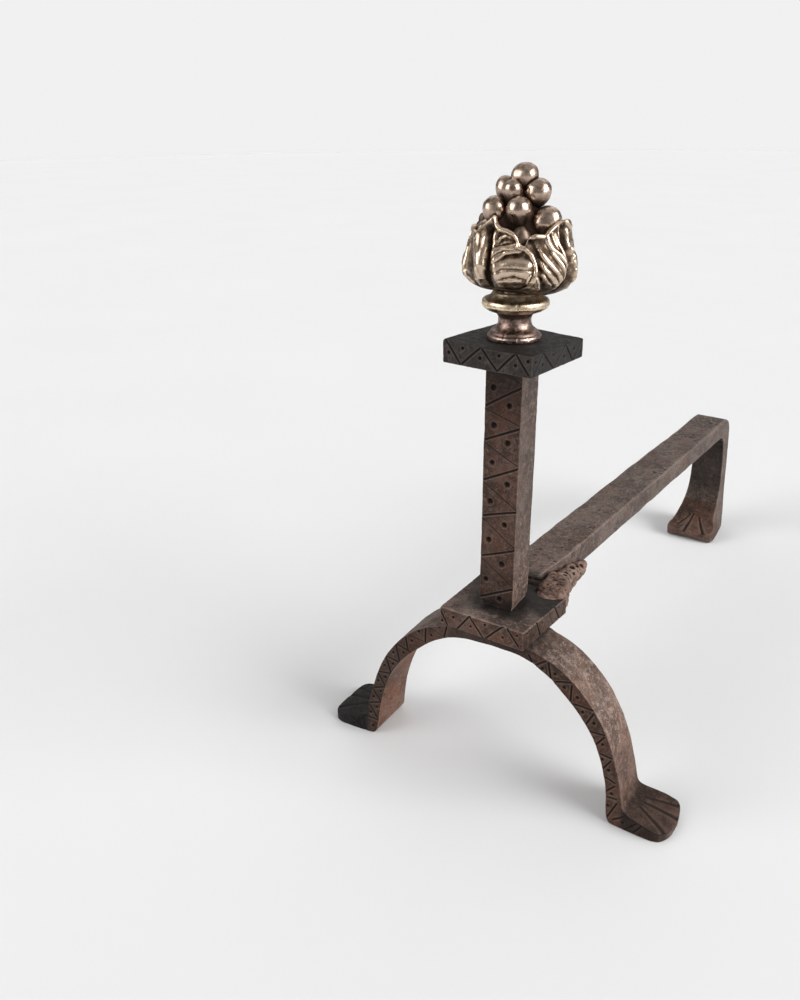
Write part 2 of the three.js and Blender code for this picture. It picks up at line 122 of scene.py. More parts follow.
PLATE_SIDE_LINES = [
    (2.6, 114.2, 11.6, 128.8, 0.6, 0.4), (17.2, 128.9, 23.8, 113.8, 0.95, 1.0), (24.8, 114.4, 32.4, 128.8, 0.6, 0.35),
    (41.9, 128.8, 50.9, 113.5, 0.95, 1.0), (34.0, 128.8, 41.0, 114.2, 0.6, 0.45), (52.4, 114.2, 58.6, 128.6, 0.6, 0.4),
]
PLATE_SIDE_DOTS = [(5.2, 125.4), (14.0, 119.9), (25.4, 123.8), (34.4, 120.4), (45.0, 117.6), (48.9, 124.9), (55.6, 124.2)]
CAP_FRONT_LINES = [
    (2.4, 311.6, 12.8, 300.0), (14.4, 300.2, 27.6, 312.2), (27.6, 312.0, 39.0, 299.8), (39.5, 300.0, 51.5, 312.2),
    (51.5, 312.0, 60.2, 300.8),
]
CAP_FRONT_DOTS = [(4.5, 305.1), (14.6, 309.0), (26.9, 305.6), (40.0, 309.0), (51.4, 305.0), (59.6, 308.6)]
CAP_SIDE_LINES = [
    (3.0, 300.4, 12.6, 311.4), (12.8, 311.4, 25.6, 299.4), (26.2, 299.4, 38.6, 311.6), (40.0, 311.4, 49.4, 299.6),
    (51.0, 300.0, 60.0, 311.0),
]
CAP_SIDE_DOTS = [(12.6, 304.6), (24.6, 308.2), (38.6, 304.6), (50.6, 307.4), (4.0, 307.6), (59.6, 303.4)]


# ---------------------------------------------------------------- noise
def _hash(ix, iy, iz, seed):
    h = (ix.astype(np.uint32) * np.uint32(0x8DA6B343)) ^ (iy.astype(np.uint32) * np.uint32(0xD8163841))
    h = h ^ (iz.astype(np.uint32) * np.uint32(0xCB1AB31F)) ^ np.uint32((seed * 2654435761 + 97) & 0xFFFFFFFF)
    h = (h ^ (h >> np.uint32(15))) * np.uint32(0x85EBCA6B)
    h = (h ^ (h >> np.uint32(13))) * np.uint32(0xC2B2AE35)
    h = h ^ (h >> np.uint32(16))
    return h.astype(np.float64) / 4294967295.0


def noise(p, size, seed=0):
    """Smooth value noise, -1 to 1, with features about `size` across."""
    q = np.asarray(p, float) / size
    i = np.floor(q).astype(np.int64)
    f = q - i
    f = f * f * f * (f * (f * 6 - 15) + 10)
    out = np.zeros(q.shape[:-1])
    for dx in (0, 1):
        wx = f[..., 0] if dx else 1 - f[..., 0]
        for dy in (0, 1):
            wy = f[..., 1] if dy else 1 - f[..., 1]
            for dz in (0, 1):
                wz = f[..., 2] if dz else 1 - f[..., 2]
                out += wx * wy * wz * _hash(i[..., 0] + dx, i[..., 1] + dy, i[..., 2] + dz, seed)
    return out * 2 - 1


def fbm(p, size, octaves=4, gain=0.5, seed=0):
    out, amp, total = 0.0, 1.0, 0.0
    for k in range(octaves):
        out = out + amp * noise(p, size / 2 ** k, seed + 31 * k)
        total += amp
        amp *= gain
    return out / total


def cells(p, size, seed=0):
    """Distance to the nearest of jittered points, in cell sizes, and that point's own random number."""
    q = np.asarray(p, float) / size
    i = np.floor(q).astype(np.int64)
    best = np.full(q.shape[:-1], 9.0)
    who = np.zeros(q.shape[:-1])
    for dx in (-1, 0, 1):
        for dy in (-1, 0, 1):
            for dz in (-1, 0, 1):
                cx, cy, cz = i[..., 0] + dx, i[..., 1] + dy, i[..., 2] + dz
                px = cx + 0.1 + 0.8 * _hash(cx, cy, cz, seed)
                py = cy + 0.1 + 0.8 * _hash(cx, cy, cz, seed + 11)
                pz = cz + 0.1 + 0.8 * _hash(cx, cy, cz, seed + 23)
                d = (q[..., 0] - px) ** 2 + (q[..., 1] - py) ** 2 + (q[..., 2] - pz) ** 2
                near = d < best
                best = np.where(near, d, best)
                who = np.where(near, _hash(cx, cy, cz, seed + 41), who)
    return np.sqrt(best), who


def smooth(lo, hi, x):
    t = np.clip((np.asarray(x, float) - lo) / (hi - lo), 0, 1)
    return t * t * (3 - 2 * t)


def pchip(x, y, xq):
    """Shape-keeping cubic through rows y at x, for each column."""
    x, y, xq = np.asarray(x, float), np.asarray(y, float), np.asarray(xq, float)
    h = np.diff(x)[:, None]
    d = np.diff(y, axis=0) / h
    m = np.zeros_like(y)
    w1, w2 = 2 * h[1:] + h[:-1], h[1:] + 2 * h[:-1]
    same = d[:-1] * d[1:] > 0
    safe0, safe1 = np.where(same, d[:-1], 1), np.where(same, d[1:], 1)
    m[1:-1] = np.where(same, (w1 + w2) / (w1 / safe0 + w2 / safe1), 0)
    m[0], m[-1] = d[0], d[-1]
    k = np.clip(np.searchsorted(x, xq, side="right") - 1, 0, len(x) - 2)
    hk = (x[k + 1] - x[k])[:, None]
    t = ((xq - x[k]) / (x[k + 1] - x[k]))[:, None]
    t2, t3 = t * t, t * t * t
    return ((2 * t3 - 3 * t2 + 1) * y[k] + (t3 - 2 * t2 + t) * hk * m[k]
            + (-2 * t3 + 3 * t2) * y[k + 1] + (t3 - t2) * hk * m[k + 1])


def turned(p, degrees):
    a = math.radians(degrees)
    c, s = math.cos(a), math.sin(a)
    p = np.asarray(p, float)
    return np.stack([p[..., 0] * c - p[..., 1] * s, p[..., 0] * s + p[..., 1] * c, p[..., 2]], -1)


# ---------------------------------------------------------------- skins
class Skin:
    """Rings of equal point counts, closed around, with both ends drawn in to a point."""

    def __init__(self, rings, caps=(6, 6), cap_bulge=(0.0, 0.0)):
        self.caps = caps
        rings = np.asarray(rings, float)
        first, last = [], []
        for end, count, bulge, out in ((0, caps[0], cap_bulge[0], first), (-1, caps[1], cap_bulge[1], last)):
            edge = rings[end]
            mid = edge.mean(0)
            step = rings[0].mean(0) - rings[1].mean(0) if end == 0 else rings[-1].mean(0) - rings[-2].mean(0)
            step = step / max(np.linalg.norm(step), 1e-9)
            for k in range(1, count + 1):
                t = k / (count + 0.35)
                out.append(mid + (edge - mid) * (1 - t) + step * bulge * math.sin(t * math.pi / 2))
        self.lead = len(first)
        self.P = np.concatenate([np.array(first[::-1]).reshape(-1, *rings.shape[1:]), rings,
                                 np.array(last).reshape(-1, *rings.shape[1:])], 0)
        self.rows, self.cols = self.P.shape[:2]
        self.tips = np.array([self.P[0].mean(0), self.P[-1].mean(0)])
        if cap_bulge[0]:
            self.tips[0] += (self.P[0].mean(0) - self.P[1].mean(0)) * 0.1
        if cap_bulge[1]:
            self.tips[1] += (self.P[-1].mean(0) - self.P[-2].mean(0)) * 0.1

    def spread(self, a, fill=0.0):
        """Values given per ring point (rows x cols of the inner rings) with the end rings filled in."""
        a = np.asarray(a, float)
        if a.ndim == 1:
            a = np.broadcast_to(a, (self.rows - sum(self.caps), self.cols))
        out = np.full((self.rows, self.cols), fill)
        out[self.lead:self.lead + a.shape[0]] = a
        if fill is None:
            out[:self.lead] = a[0]
            out[self.lead + a.shape[0]:] = a[-1]
        return out

    def normals(self):
        P = self.P
        du = np.roll(P, -1, 1) - np.roll(P, 1, 1)
        ds = np.empty_like(P)
        ds[1:-1] = P[2:] - P[:-2]
        ds[0] = P[1] - self.tips[0]
        ds[-1] = self.tips[1] - P[-2]
        n = np.cross(du, ds)
        n /= np.maximum(np.linalg.norm(n, axis=-1, keepdims=True), 1e-12)
        out = (P - P.mean(1, keepdims=True))
        if (n * out).sum() < 0:
            n = -n
        return n

    def faces(self):
        R, N = self.rows, self.cols
        i = np.arange(R - 1)[:, None] * N
        j = np.arange(N)[None, :]
        a, b = i + j, i + (j + 1) % N
        quads = np.stack([a, b, b + N, a + N], -1).reshape(-1, 4)
        t0, t1 = R * N, R * N + 1
        j = np.arange(N)
        k = (j + 1) % N
        tris = np.concatenate([np.stack([np.full(N, t0), k, j], -1), np.stack([np.full(N, t1), (R - 1) * N + j, (R - 1) * N + k], -1)])
        co = np.concatenate([self.P.reshape(-1, 3), self.tips])
        co = co - co.mean(0)
        v0, v1, v2, v3 = (co[quads[:, k]] for k in range(4))
        vol = (v0 * np.cross(v1, v2)).sum() + (v0 * np.cross(v2, v3)).sum()
        vol += (co[tris[:, 0]] * np.cross(co[tris[:, 1]], co[tris[:, 2]])).sum()
        if vol < 0:
            quads, tris = quads[:, ::-1], tris[:, ::-1]
        return quads, tris


def rounded(corners, radius, counts, arc=5):
    """Rings through four corners (rings x 4 x 3) with rounded corners.

    Returns the rings, each point's face (0: corner 0 to 1, and so on), its place along that face from
    0 to 1, and how near it is to a corner, from 0 to 1."""
    corners = np.asarray(corners, float)
    R = len(corners)
    radius = np.broadcast_to(np.asarray(radius, float), (R, 4))
    parts, face, along, edge = [], [], [], []
    start, stop = [], []
    for i in range(4):
        p, a, b = corners[:, i], corners[:, (i + 3) % 4], corners[:, (i + 1) % 4]
        la = np.linalg.norm(a - p, axis=1, keepdims=True)
        lb = np.linalg.norm(b - p, axis=1, keepdims=True)
        ra = np.minimum(radius[:, i:i + 1], 0.42 * la)
        rb = np.minimum(radius[:, i:i + 1], 0.42 * lb)
        start.append(p + (a - p) / np.maximum(la, 1e-9) * ra)
        stop.append(p + (b - p) / np.maximum(lb, 1e-9) * rb)
    for i in range(4):
        p = corners[:, i]
        for k in range(arc):
            t = (k + 0.5) / arc
            parts.append((1 - t) ** 2 * start[i] + 2 * t * (1 - t) * p + t * t * stop[i])
            face.append(i if t > 0.5 else (i + 3) % 4)
            along.append(0.0 if t > 0.5 else 1.0)
            edge.append(1 - abs(2 * t - 1) * 0.5)
        j = (i + 1) % 4
        n = counts[i]
        for k in range(n):
            t = k / (n - 1)
            parts.append(stop[i] * (1 - t) + start[j] * t)
            face.append(i)
            along.append(t)
            edge.append(max(0.0, 0.5 - 0.5 * min(t, 1 - t) * n / 3.0))
    return np.stack(parts, 1), np.array(face), np.array(along), np.array(edge)


def chase(a, b, lines=(), dots=(), w=0.75, d=0.75, dot_r=1.25, dot_d=1.1, burr=0.055):
    """Height in mm (cuts are negative) and how deep into a cut each point is, 0 to 1."""
    shape = a.shape
    a, b = a.reshape(-1), b.reshape(-1)
    h, dark = np.zeros(len(a)), np.zeros(len(a))
    lift = np.zeros(len(a))
    for n, line in enumerate(lines):
        a0, b0, a1, b1 = line[:4]
        lw = line[4] if len(line) > 4 else w
        ld = line[5] if len(line) > 5 else d
        pad = 3 * lw
        m = np.flatnonzero((a > min(a0, a1) - pad) & (a < max(a0, a1) + pad) & (b > min(b0, b1) - pad) & (b < max(b0, b1) + pad))
        if not len(m):
            continue
        x, y = a[m], b[m]
        L2 = (a1 - a0) ** 2 + (b1 - b0) ** 2
        t = np.clip(((x - a0) * (a1 - a0) + (y - b0) * (b1 - b0)) / L2, 0, 1)
        bow = 0.22 * math.sin(n * 2.4 + 1.0) * np.sin(t * math.pi)
        nx, ny = -(b1 - b0) / math.sqrt(L2), (a1 - a0) / math.sqrt(L2)
        dist = np.hypot(x - (a0 + t * (a1 - a0) + nx * bow), y - (b0 + t * (b1 - b0) + ny * bow))
        depth = ld * (0.82 + 0.18 * np.sin(t * math.pi)) * (1 + 0.12 * math.sin(3.1 * n))
        v = np.clip(1 - dist / lw, 0, 1)
        h[m] = np.minimum(h[m], -depth * v ** 0.8)
        dark[m] = np.maximum(dark[m], smooth(0.0, 0.55, v) * min(1.0, ld / 0.6))
        lift[m] = np.maximum(lift[m], burr * min(1.0, ld / 0.6) * np.exp(-((dist - 1.35 * lw) / (0.42 * lw)) ** 2))
    for n, dot in enumerate(dots):
        a0, b0 = dot[:2]
        r = (dot[2] if len(dot) > 2 else dot_r) * (1 + 0.08 * math.sin(4.3 * n))
        dd = dot[3] if len(dot) > 3 else dot_d
        m = np.flatnonzero((np.abs(a - a0) < 3 * r) & (np.abs(b - b0) < 3 * r))
        if not len(m):
            continue
        dist = np.hypot(a[m] - a0, b[m] - b0)
        v = np.clip(1 - dist / (r * 1.25), 0, 1)
        h[m] = np.minimum(h[m], -dd * np.minimum(1, 1.7 * v) ** 1.1)
        # painted shade in the dot, kept off the wall turned to the lower right, which the light falls on
        turn = ((a[m] - a0) * 0.6 - (b[m] - b0) * 0.8) / np.maximum(dist, 0.1)
        dark[m] = np.maximum(dark[m], smooth(0.05, 0.6, v - 0.16 * np.clip(turn, 0, 1)))
        # the punch throws up a little more metal below than above
        below = 0.45 + 0.55 * np.clip((b0 - b[m]) / np.maximum(dist, 0.1), -1, 1)
        lift[m] = np.maximum(lift[m], 0.8 * burr * below * np.exp(-((dist - 1.5 * r) / (0.35 * r)) ** 2))
    h = h + lift * (1 - np.clip(-h / 0.1, 0, 1))
    return h.reshape(shape), dark.reshape(shape)


def chisel(a, b, cuts):
    """Broad V cuts with straight sides: (a0, b0, a1, b1, half width there, half width here, depth)."""
    h, dark = np.zeros(a.shape), np.zeros(a.shape)
    for a0, b0, a1, b1, w0, w1, d in cuts:
        L2 = (a1 - a0) ** 2 + (b1 - b0) ** 2
        raw = ((a - a0) * (a1 - a0) + (b - b0) * (b1 - b0)) / L2
        t = np.clip(raw, 0, 1)
        dist = np.hypot(a - a0 - t * (a1 - a0), b - b0 - t * (b1 - b0))
        w = w0 + (w1 - w0) * t
        depth = d * (0.45 + 0.55 * t)
        v = np.clip(1 - dist / w, 0, 1)
        h = np.minimum(h, -depth * v)
        dark = np.maximum(dark, smooth(0.62, 0.15, dist) * smooth(-0.05, 0.03, raw) * min(1.0, d / 1.6))
    return h, dark


def forged(p, seed=0, hammer=0.22, size=13.0, wave=0.35, pits=0.05):
    """Uneven skin left by forging: shallow hammer marks, slow waves and fine scale pits, in mm."""
    h = wave * fbm(p, 46, 2, 0.5, seed)
    if hammer:
        warp = p + 2.2 * np.stack([noise(p, 9, seed + 5), noise(p, 9, seed + 6), noise(p, 9, seed + 7)], -1)
        d, who = cells(warp, size, seed + 3)
        h = h + hammer * (smooth(0.25, 0.95, d) * 1.2 - 0.7) * (0.55 + 0.45 * who)
    grain = fbm(p, 3.2, 3, 0.6, seed + 9)
    h = h + pits * grain - 1.8 * pits * smooth(0.28, 0.75, noise(p, 2.1, seed + 15))
    return h


# ---------------------------------------------------------------- meshes
def cavity(co, edges, n, rounds=10):
    """How far each point lies below its smoothed surroundings, in mm."""
    P = co.copy()
    a, b = edges[:, 0], edges[:, 1]
    deg = np.maximum(np.bincount(a, minlength=len(co)) + np.bincount(b, minlength=len(co)), 1)
    for _ in range(rounds):
        S = np.stack([np.bincount(a, weights=P[b, k], minlength=len(co)) + np.bincount(b, weights=P[a, k], minlength=len(co))
                      for k in range(3)], -1)
        P = 0.35 * P + 0.65 * S / deg[:, None]
    return ((P - co) * n).sum(1)


def make_mesh(name, co_mm, quads=None, tris=None, attributes=None, cav_rounds=10):
    """A smooth-shaded object from points in mm; attributes are per point."""
    me = bpy.data.meshes.new(name)
    faces = []
    if quads is not None:
        faces += [q for q in np.asarray(quads).tolist()]
    if tris is not None:
        faces += [t for t in np.asarray(tris).tolist()]
    co = metres(co_mm)
    me.from_pydata(co.tolist(), [], faces)
    me.update()
    ob = bpy.data.objects.new(name, me)
    bpy.context.scene.collection.objects.link(ob)
    dress(ob, attributes, cav_rounds)
    return ob


def dress(ob, attributes=None, cav_rounds=10):
    """Smooth shading, the given point attributes, and 'cav' and 'cavw', fine and broad hollowness."""
    me = ob.data
    me.shade_smooth()
    n = len(me.vertices)
    co = np.zeros(n * 3)
    me.vertices.foreach_get("co", co)
    co = co.reshape(-1, 3) * 1000
    nrm = np.zeros(n * 3, np.float32)
    me.vertex_normals.foreach_get("vector", nrm)
    nrm = nrm.reshape(-1, 3).astype(float)
    e = np.zeros(len(me.edges) * 2, np.int32)
    me.edges.foreach_get("vertices", e)
    e = e.reshape(-1, 2)
    values = dict(attributes or {})
    values["cav"] = cavity(co, e, nrm, cav_rounds)
    values["cavw"] = cavity(co, e, nrm, cav_rounds * 5)
    for key, val in values.items():
        at = me.attributes.new(key, "FLOAT", "POINT")
        at.data.foreach_set("value", np.asarray(val, np.float32).reshape(-1))
    return ob


def finish_skin(name, skin, heights, attributes, cav_rounds=10):
    n = skin.normals()
    skin.P = skin.P + n * heights[..., None]
    skin.P[..., 2] = np.maximum(skin.P[..., 2], 0.0)
    skin.tips[:, 2] = np.maximum(skin.tips[:, 2], 0.0)
    quads, tris = skin.faces()
    at = {k: np.concatenate([v.reshape(-1), [v[0].mean(), v[-1].mean()]]) for k, v in attributes.items()}
    co = np.concatenate([skin.P.reshape(-1, 3), skin.tips])
    return make_mesh(name, co, quads, tris, at, cav_rounds)


# ---------------------------------------------------------------- front legs
def leg_rings(step=0.52):
    rows = []
    for i in range(len(LEG) - 1, 0, -1):
        xo, zo, xi, zi, wf, wb = LEG[i]
        rows.append([-xo, zo, -xi, zi, wf, wb])
    for xo, zo, xi, zi, wf, wb in LEG:
        rows.append([xo, zo, xi, zi, wf, wb])
    rows = np.array(rows)
    mid = (rows[:, 0:2] + rows[:, 2:4]) / 2
    s = np.concatenate([[0], np.cumsum(np.linalg.norm(np.diff(mid, axis=0), axis=1))])
    q = np.linspace(0, s[-1], int(s[-1] / step))
    r = pchip(s, rows, q)
    k = (1 + np.clip(r[:, 0] / 32, -1, 1)) / 2
    yf = ARCH_Y["left"][0] * (1 - k) + ARCH_Y["right"][0] * k - r[:, 4]
    yb = ARCH_Y["left"][1] * (1 - k) + ARCH_Y["right"][1] * k + r[:, 5]
    xo, zo, xi, zi = ARCH_SHIFT + r[:, 0], r[:, 1], ARCH_SHIFT + r[:, 2], r[:, 3]
    corners = np.stack([np.stack([xi, yf, zi], 1), np.stack([xo, yf, zo], 1),
                        np.stack([xo, yb, zo], 1), np.stack([xi, yb, zi], 1)], 1)
    return corners, q, s[-1]


def front_legs():
    corners, s, total = leg_rings()
    pts = corners[:, :, [0, 2]].mean(1)
    rad = np.stack([0.65 + 0.3 * noise(np.stack([s, s * 0, s * 0 + 7.0 * k], 1), 9, 50 + k) for k in range(4)], 1)
    rings, face, along, edge = rounded(corners, rad, (30, 34, 12, 34))
    skin = Skin(rings, caps=(4, 4), cap_bulge=(0.6, 0.6))
    P = skin.P
    row_face = np.broadcast_to(face, (skin.rows, skin.cols))
    edge = skin.spread(edge, 0.6)
    h = forged(P, seed=2, hammer=0.20, size=12, wave=0.45, pits=0.05)
    # hammered hollows along the outer face
    n = skin.normals()
    front = smooth(0.2, 0.55, -n[..., 1])
    right = P[..., 0] > ARCH_SHIFT
    lines_l, dots_l = left_zigzag()
    hr, dr = chase(P[..., 0], P[..., 2], ARCH_RIGHT_LINES, ARCH_RIGHT_DOTS, w=0.85, d=0.85, dot_r=1.25)
    hl, dl = chase(P[..., 0], P[..., 2], lines_l, dots_l, w=0.85, d=0.85, dot_r=1.2)
    hp, dp = np.where(right, hr, hl), np.where(right, dr, dl)
    groove = dp * front
    h = h * (1 - 0.55 * front) + hp * front
    # chisel cuts across the top of each foot, fanned from the ankle
    top = smooth(0.3, 0.7, n[..., 2]) * (np.abs(P[..., 0] - ARCH_SHIFT) > 100)
    for side, (yf, yb) in ((1, ARCH_Y["right"]), (-1, ARCH_Y["left"])):
        yc = (yf + yb) / 2 - 0.8
        a = (P[..., 0] - ARCH_SHIFT) * side
        b = P[..., 1] - yc
        cuts = [(110.5, -4.0, 132.0, -14.2, 1.0, 2.5, 1.6), (111.5, 2.2, 136.0, 5.8, 1.0, 2.7, 1.6),
                (110.0, 7.2, 130.0, 15.8, 0.8, 1.6, 0.8)]
        hc, dc = chisel(a, b, cuts)
        on = top * (np.sign(P[..., 0] - ARCH_SHIFT) == side)
        h = h + hc * on
        groove = np.maximum(groove, dc * on)
    x = P[..., 0] - ARCH_SHIFT
    foot = smooth(99, 104, np.abs(x)) * smooth(0.0, 0.6, n[..., 2] + 0.35)
    inner = (row_face == 3) & (P[..., 2] < 104)
    rust = 0.9 * inner * (x < 0) + 0.35 * inner * (x > 0) + 0.45 * front
    dark = 0.25 * foot * (x > 0) + 1.0 * smooth(96, 101, -x) * (1 - 0.85 * inner)
    dark = np.maximum(dark, 0.35 * front * (x < 0) * smooth(46, 62, -x))
    # under the plate the bar lies in its shadow and soot
    dark = np.maximum(dark, 0.5 * smooth(36, 26, np.abs(x)))
    # painted light and shade by face: the arch's top on the right is lightened and the front faces darkened, as the
    # light falls; the feet are darker, the left foot black, and the left leg's rusty inside lighter
    back = (row_face == 1) * (1 - front)
    tone_and_painted_light = 0.52 * back * smooth(36, 46, x) * smooth(36, 74, P[..., 2]) + 0.0 * back - 0.46 * front - 0.50 * foot
    tone_and_painted_light = tone_and_painted_light + 0.30 * inner * (x < 0) - 0.36 * foot * (x < 0)
    warm = 0.95 * front + back * (0.15 + 0.55 * smooth(88, 40, P[..., 2])) + 0.6 * foot + 0.95 * inner * (x < 0)
    return finish_skin("front_legs_forged", skin, h, {
        "groove": groove, "edge": edge, "dark": dark, "rust": rust.astype(float), "tone_and_painted_light": tone_and_painted_light.astype(float),
        "warm": np.clip(warm, 0, 1)})


def left_zigzag():
    """Zigzag and dots down the left leg's front edge: deep cuts one way, light ones the other."""
    rows = [[-r[0], r[1], -r[2], r[3]] for r in LEG]
    rows = np.array(rows)
    mid = (rows[:, 0:2] + rows[:, 2:4]) / 2
    s = np.concatenate([[0], np.cumsum(np.linalg.norm(np.diff(mid, axis=0), axis=1))])

    def at(q, u):
        r = pchip(s, rows, [q])[0]
        return (ARCH_SHIFT + r[2] * (1 - u) + r[0] * u, r[3] * (1 - u) + r[1] * u)

    lines = [(-28.0, 114.0, -29.9, 105.0, 0.85, 0.9), (-44.5, 109.0, -45.0, 95.4, 0.85, 0.9), (-61.6, 96.5, -59.4, 84.6, 0.85, 0.9)]
    lines += [(-31.0, 105.0, -42.6, 109.4, 0.7, 0.3), (-46.4, 95.6, -60.4, 97.0, 0.7, 0.35)]
    dots = [(-33.8, 111.4), (-40.2, 102.6), (-50.4, 102.6), (-56.0, 92.8)]
    q, step, up = 72.0, 7.4, True
    n = 0
    while q < s[-1] - 20:
        q1 = q + step * (1 + 0.12 * math.sin(2.2 * n))
        a, b = (at(q, 0.02), at(q1, 0.98)) if up else (at(q, 0.98), at(q1, 0.02))
        lines.append((*a, *b, 0.85, 0.85))
        dots.append(at((q + q1) / 2 + (step * 0.42), 0.28 if up else 0.72))
        q, up, n = q1 + 0.6, not up, n + 1
    return lines, dots


# ---------------------------------------------------------------- plates
def plate_skin(outline, top, thick, side_step=0.36, radius=1.3, corner=1.5, counts=None, dish=None, seed=0):
    """A plate as rings: in from the middle of the underside, up the edge and in to the middle of the top."""
    O = np.array(outline, float)
    n = [max(8, int(np.linalg.norm(O[(i + 1) % 4] - O[i]) / side_step)) for i in range(4)]
    base = np.concatenate([O, np.full((4, 1), 0.0)], 1)[None]
    ring, face, along, edge = rounded(base, corner, n, arc=7)
    ring = ring[0]
    mid = O.mean(0)
    z0, z1 = top - thick, top
    prof = []
    half = min(np.linalg.norm(O[1] - O[0]), np.linalg.norm(O[2] - O[1])) / 2
    for t in np.linspace(0.12, 1, 12, endpoint=False):
        prof.append((half - (half - radius) * t, z0))
    for k in range(6):
        a = (k + 0.5) / 6 * math.pi / 2
        prof.append((radius * (1 - math.sin(a)), z0 + radius * (1 - math.cos(a))))
    m = int((thick - 2 * radius) / side_step)
    for k in range(m + 1):
        prof.append((0.0, z0 + radius + (thick - 2 * radius) * k / m))
    for k in range(6):
        a = (k + 0.5) / 6 * math.pi / 2
        prof.append((radius * (1 - math.cos(a)), z1 - radius + radius * math.sin(a)))
    for t in np.linspace(1, 0.03, 34):
        prof.append((half - (half - radius) * t, z1))
    rings = []
    for inset, z in prof:
        k = 1 - inset / half
        p = ring.copy()
        p[:, :2] = mid + (ring[:, :2] - mid) * k
        p[:, 2] = z
        rings.append(p)
    skin = Skin(np.array(rings), caps=(1, 1))
    return skin, face, along, edge, np.array([p[0] for p in prof]), np.array([p[1] for p in prof])


def side_pattern(skin, outline, which, lines, dots, **kw):
    O = np.array(outline, float)
    a, b = O[which], O[(which + 1) % 4]
    d = (b - a) / np.linalg.norm(b - a)
    out = np.array([d[1], -d[0]])
    P = skin.P
    along = (P[..., :2] - a) @ d
    n = skin.normals()
    on = smooth(0.25, 0.6, n[..., :2] @ out)
    h, dark = chase(along, P[..., 2], lines, dots, **kw)
    return h * on, dark * on


def regular(length, z0, z1, peaks, seed):
    """A zigzag with a dot in each triangle for a face that the photograph doesn't show."""
    lines, dots = [], []
    step = length / (2 * peaks)
    for k in range(2 * peaks):
        a, b = k * step + 0.6, (k + 1) * step - 0.2
        w = 0.5 * math.sin(seed + 1.7 * k)
        lines.append((a + w, z1 - 0.3, b + w, z0 + 0.3) if k % 2 == 0 else (a + w, z0 + 0.3, b + w, z1 - 0.3))
        if k:
            dots.append((k * step + w, (z0 + z1) / 2 + (2.4 if k % 2 else -2.4)))
    return lines, dots


def base_plate():
    skin, face, along, edge, inset, zs = plate_skin(PLATE, PLATE_TOP, PLATE_THICK, radius=1.0, corner=1.3)
    P = skin.P
    n = skin.normals()
    z0, z1 = PLATE_TOP - PLATE_THICK, PLATE_TOP
    h = forged(P, seed=21, hammer=0.16, size=11, wave=0.5, pits=0.07)
    side = smooth(0.6, 0.2, np.abs(n[..., 2]))
    h = h * (1 - 0.35 * side)
    groove = np.zeros(h.shape)
    L3 = regular(64, z0, z1, 3, 1.0)
    for which, lines, dots in ((0, PLATE_FRONT_LINES, PLATE_FRONT_DOTS), (1, PLATE_SIDE_LINES, PLATE_SIDE_DOTS),
                               (2, *L3), (3, *regular(64, z0, z1, 3, 2.0))):
        hp, dp = side_pattern(skin, PLATE, which, lines, dots, w=0.85, d=0.85, dot_r=1.0, dot_d=1.1)
        h, groove = h + hp, np.maximum(groove, dp)
    x, y = P[..., 0], P[..., 1]
    r = np.maximum(np.abs(x), np.abs(y))
    top = smooth(0.5, 0.9, n[..., 2])
    # a shallow seat hammered around the post
    h = h - 0.5 * top * smooth(17.5, 13.5, r)
    # a stain and painted contact shade darken the top around the post and over its back half; the underside gets
    # painted shade
    stain_and_painted_shade = smooth(30, 15, r + 3.5 * noise(P, 9, 77)) * top
    behind = top * smooth(-6, 8, y + 0.3 * x)
    dark = np.maximum(0.95 * np.maximum(stain_and_painted_shade, 0.95 * behind), 0.10 * top)
    dark = np.maximum(dark, 0.9 * smooth(-0.4, -0.8, n[..., 2]))
    rust = 0.6 * side * smooth(0.0, 1.0, noise(P, 20, 5) + 0.4)
    # painted light and shade by face: the front and right sides darker, the top lighter towards the front and darker
    # behind the post
    tone_and_painted_light = -0.26 * side * smooth(0.3, 0.8, -n[..., 1]) - 0.52 * side * smooth(0.3, 0.8, n[..., 0]) + 0.22 * top * smooth(8, 30, -y)
    tone_and_painted_light = tone_and_painted_light - 0.62 * top * smooth(-4, 16, y + 0.5 * x)
    warm = 0.8 * side + 0.1 * top
    e = np.exp(-((np.broadcast_to(np.concatenate([[9], inset, [30]])[:, None], h.shape) - 0.5) / 1.2) ** 2)
    e = e * smooth(0.05, 0.5, np.abs(n[..., 2])) * smooth(0.98, 0.7, np.abs(n[..., 2]))
    e = np.maximum(e, np.broadcast_to(edge, h.shape) * side)
    return finish_skin("base_plate_chased", skin, h, {"groove": groove, "edge": e, "dark": dark, "rust": rust, "tone_and_painted_light": tone_and_painted_light, "warm": warm})


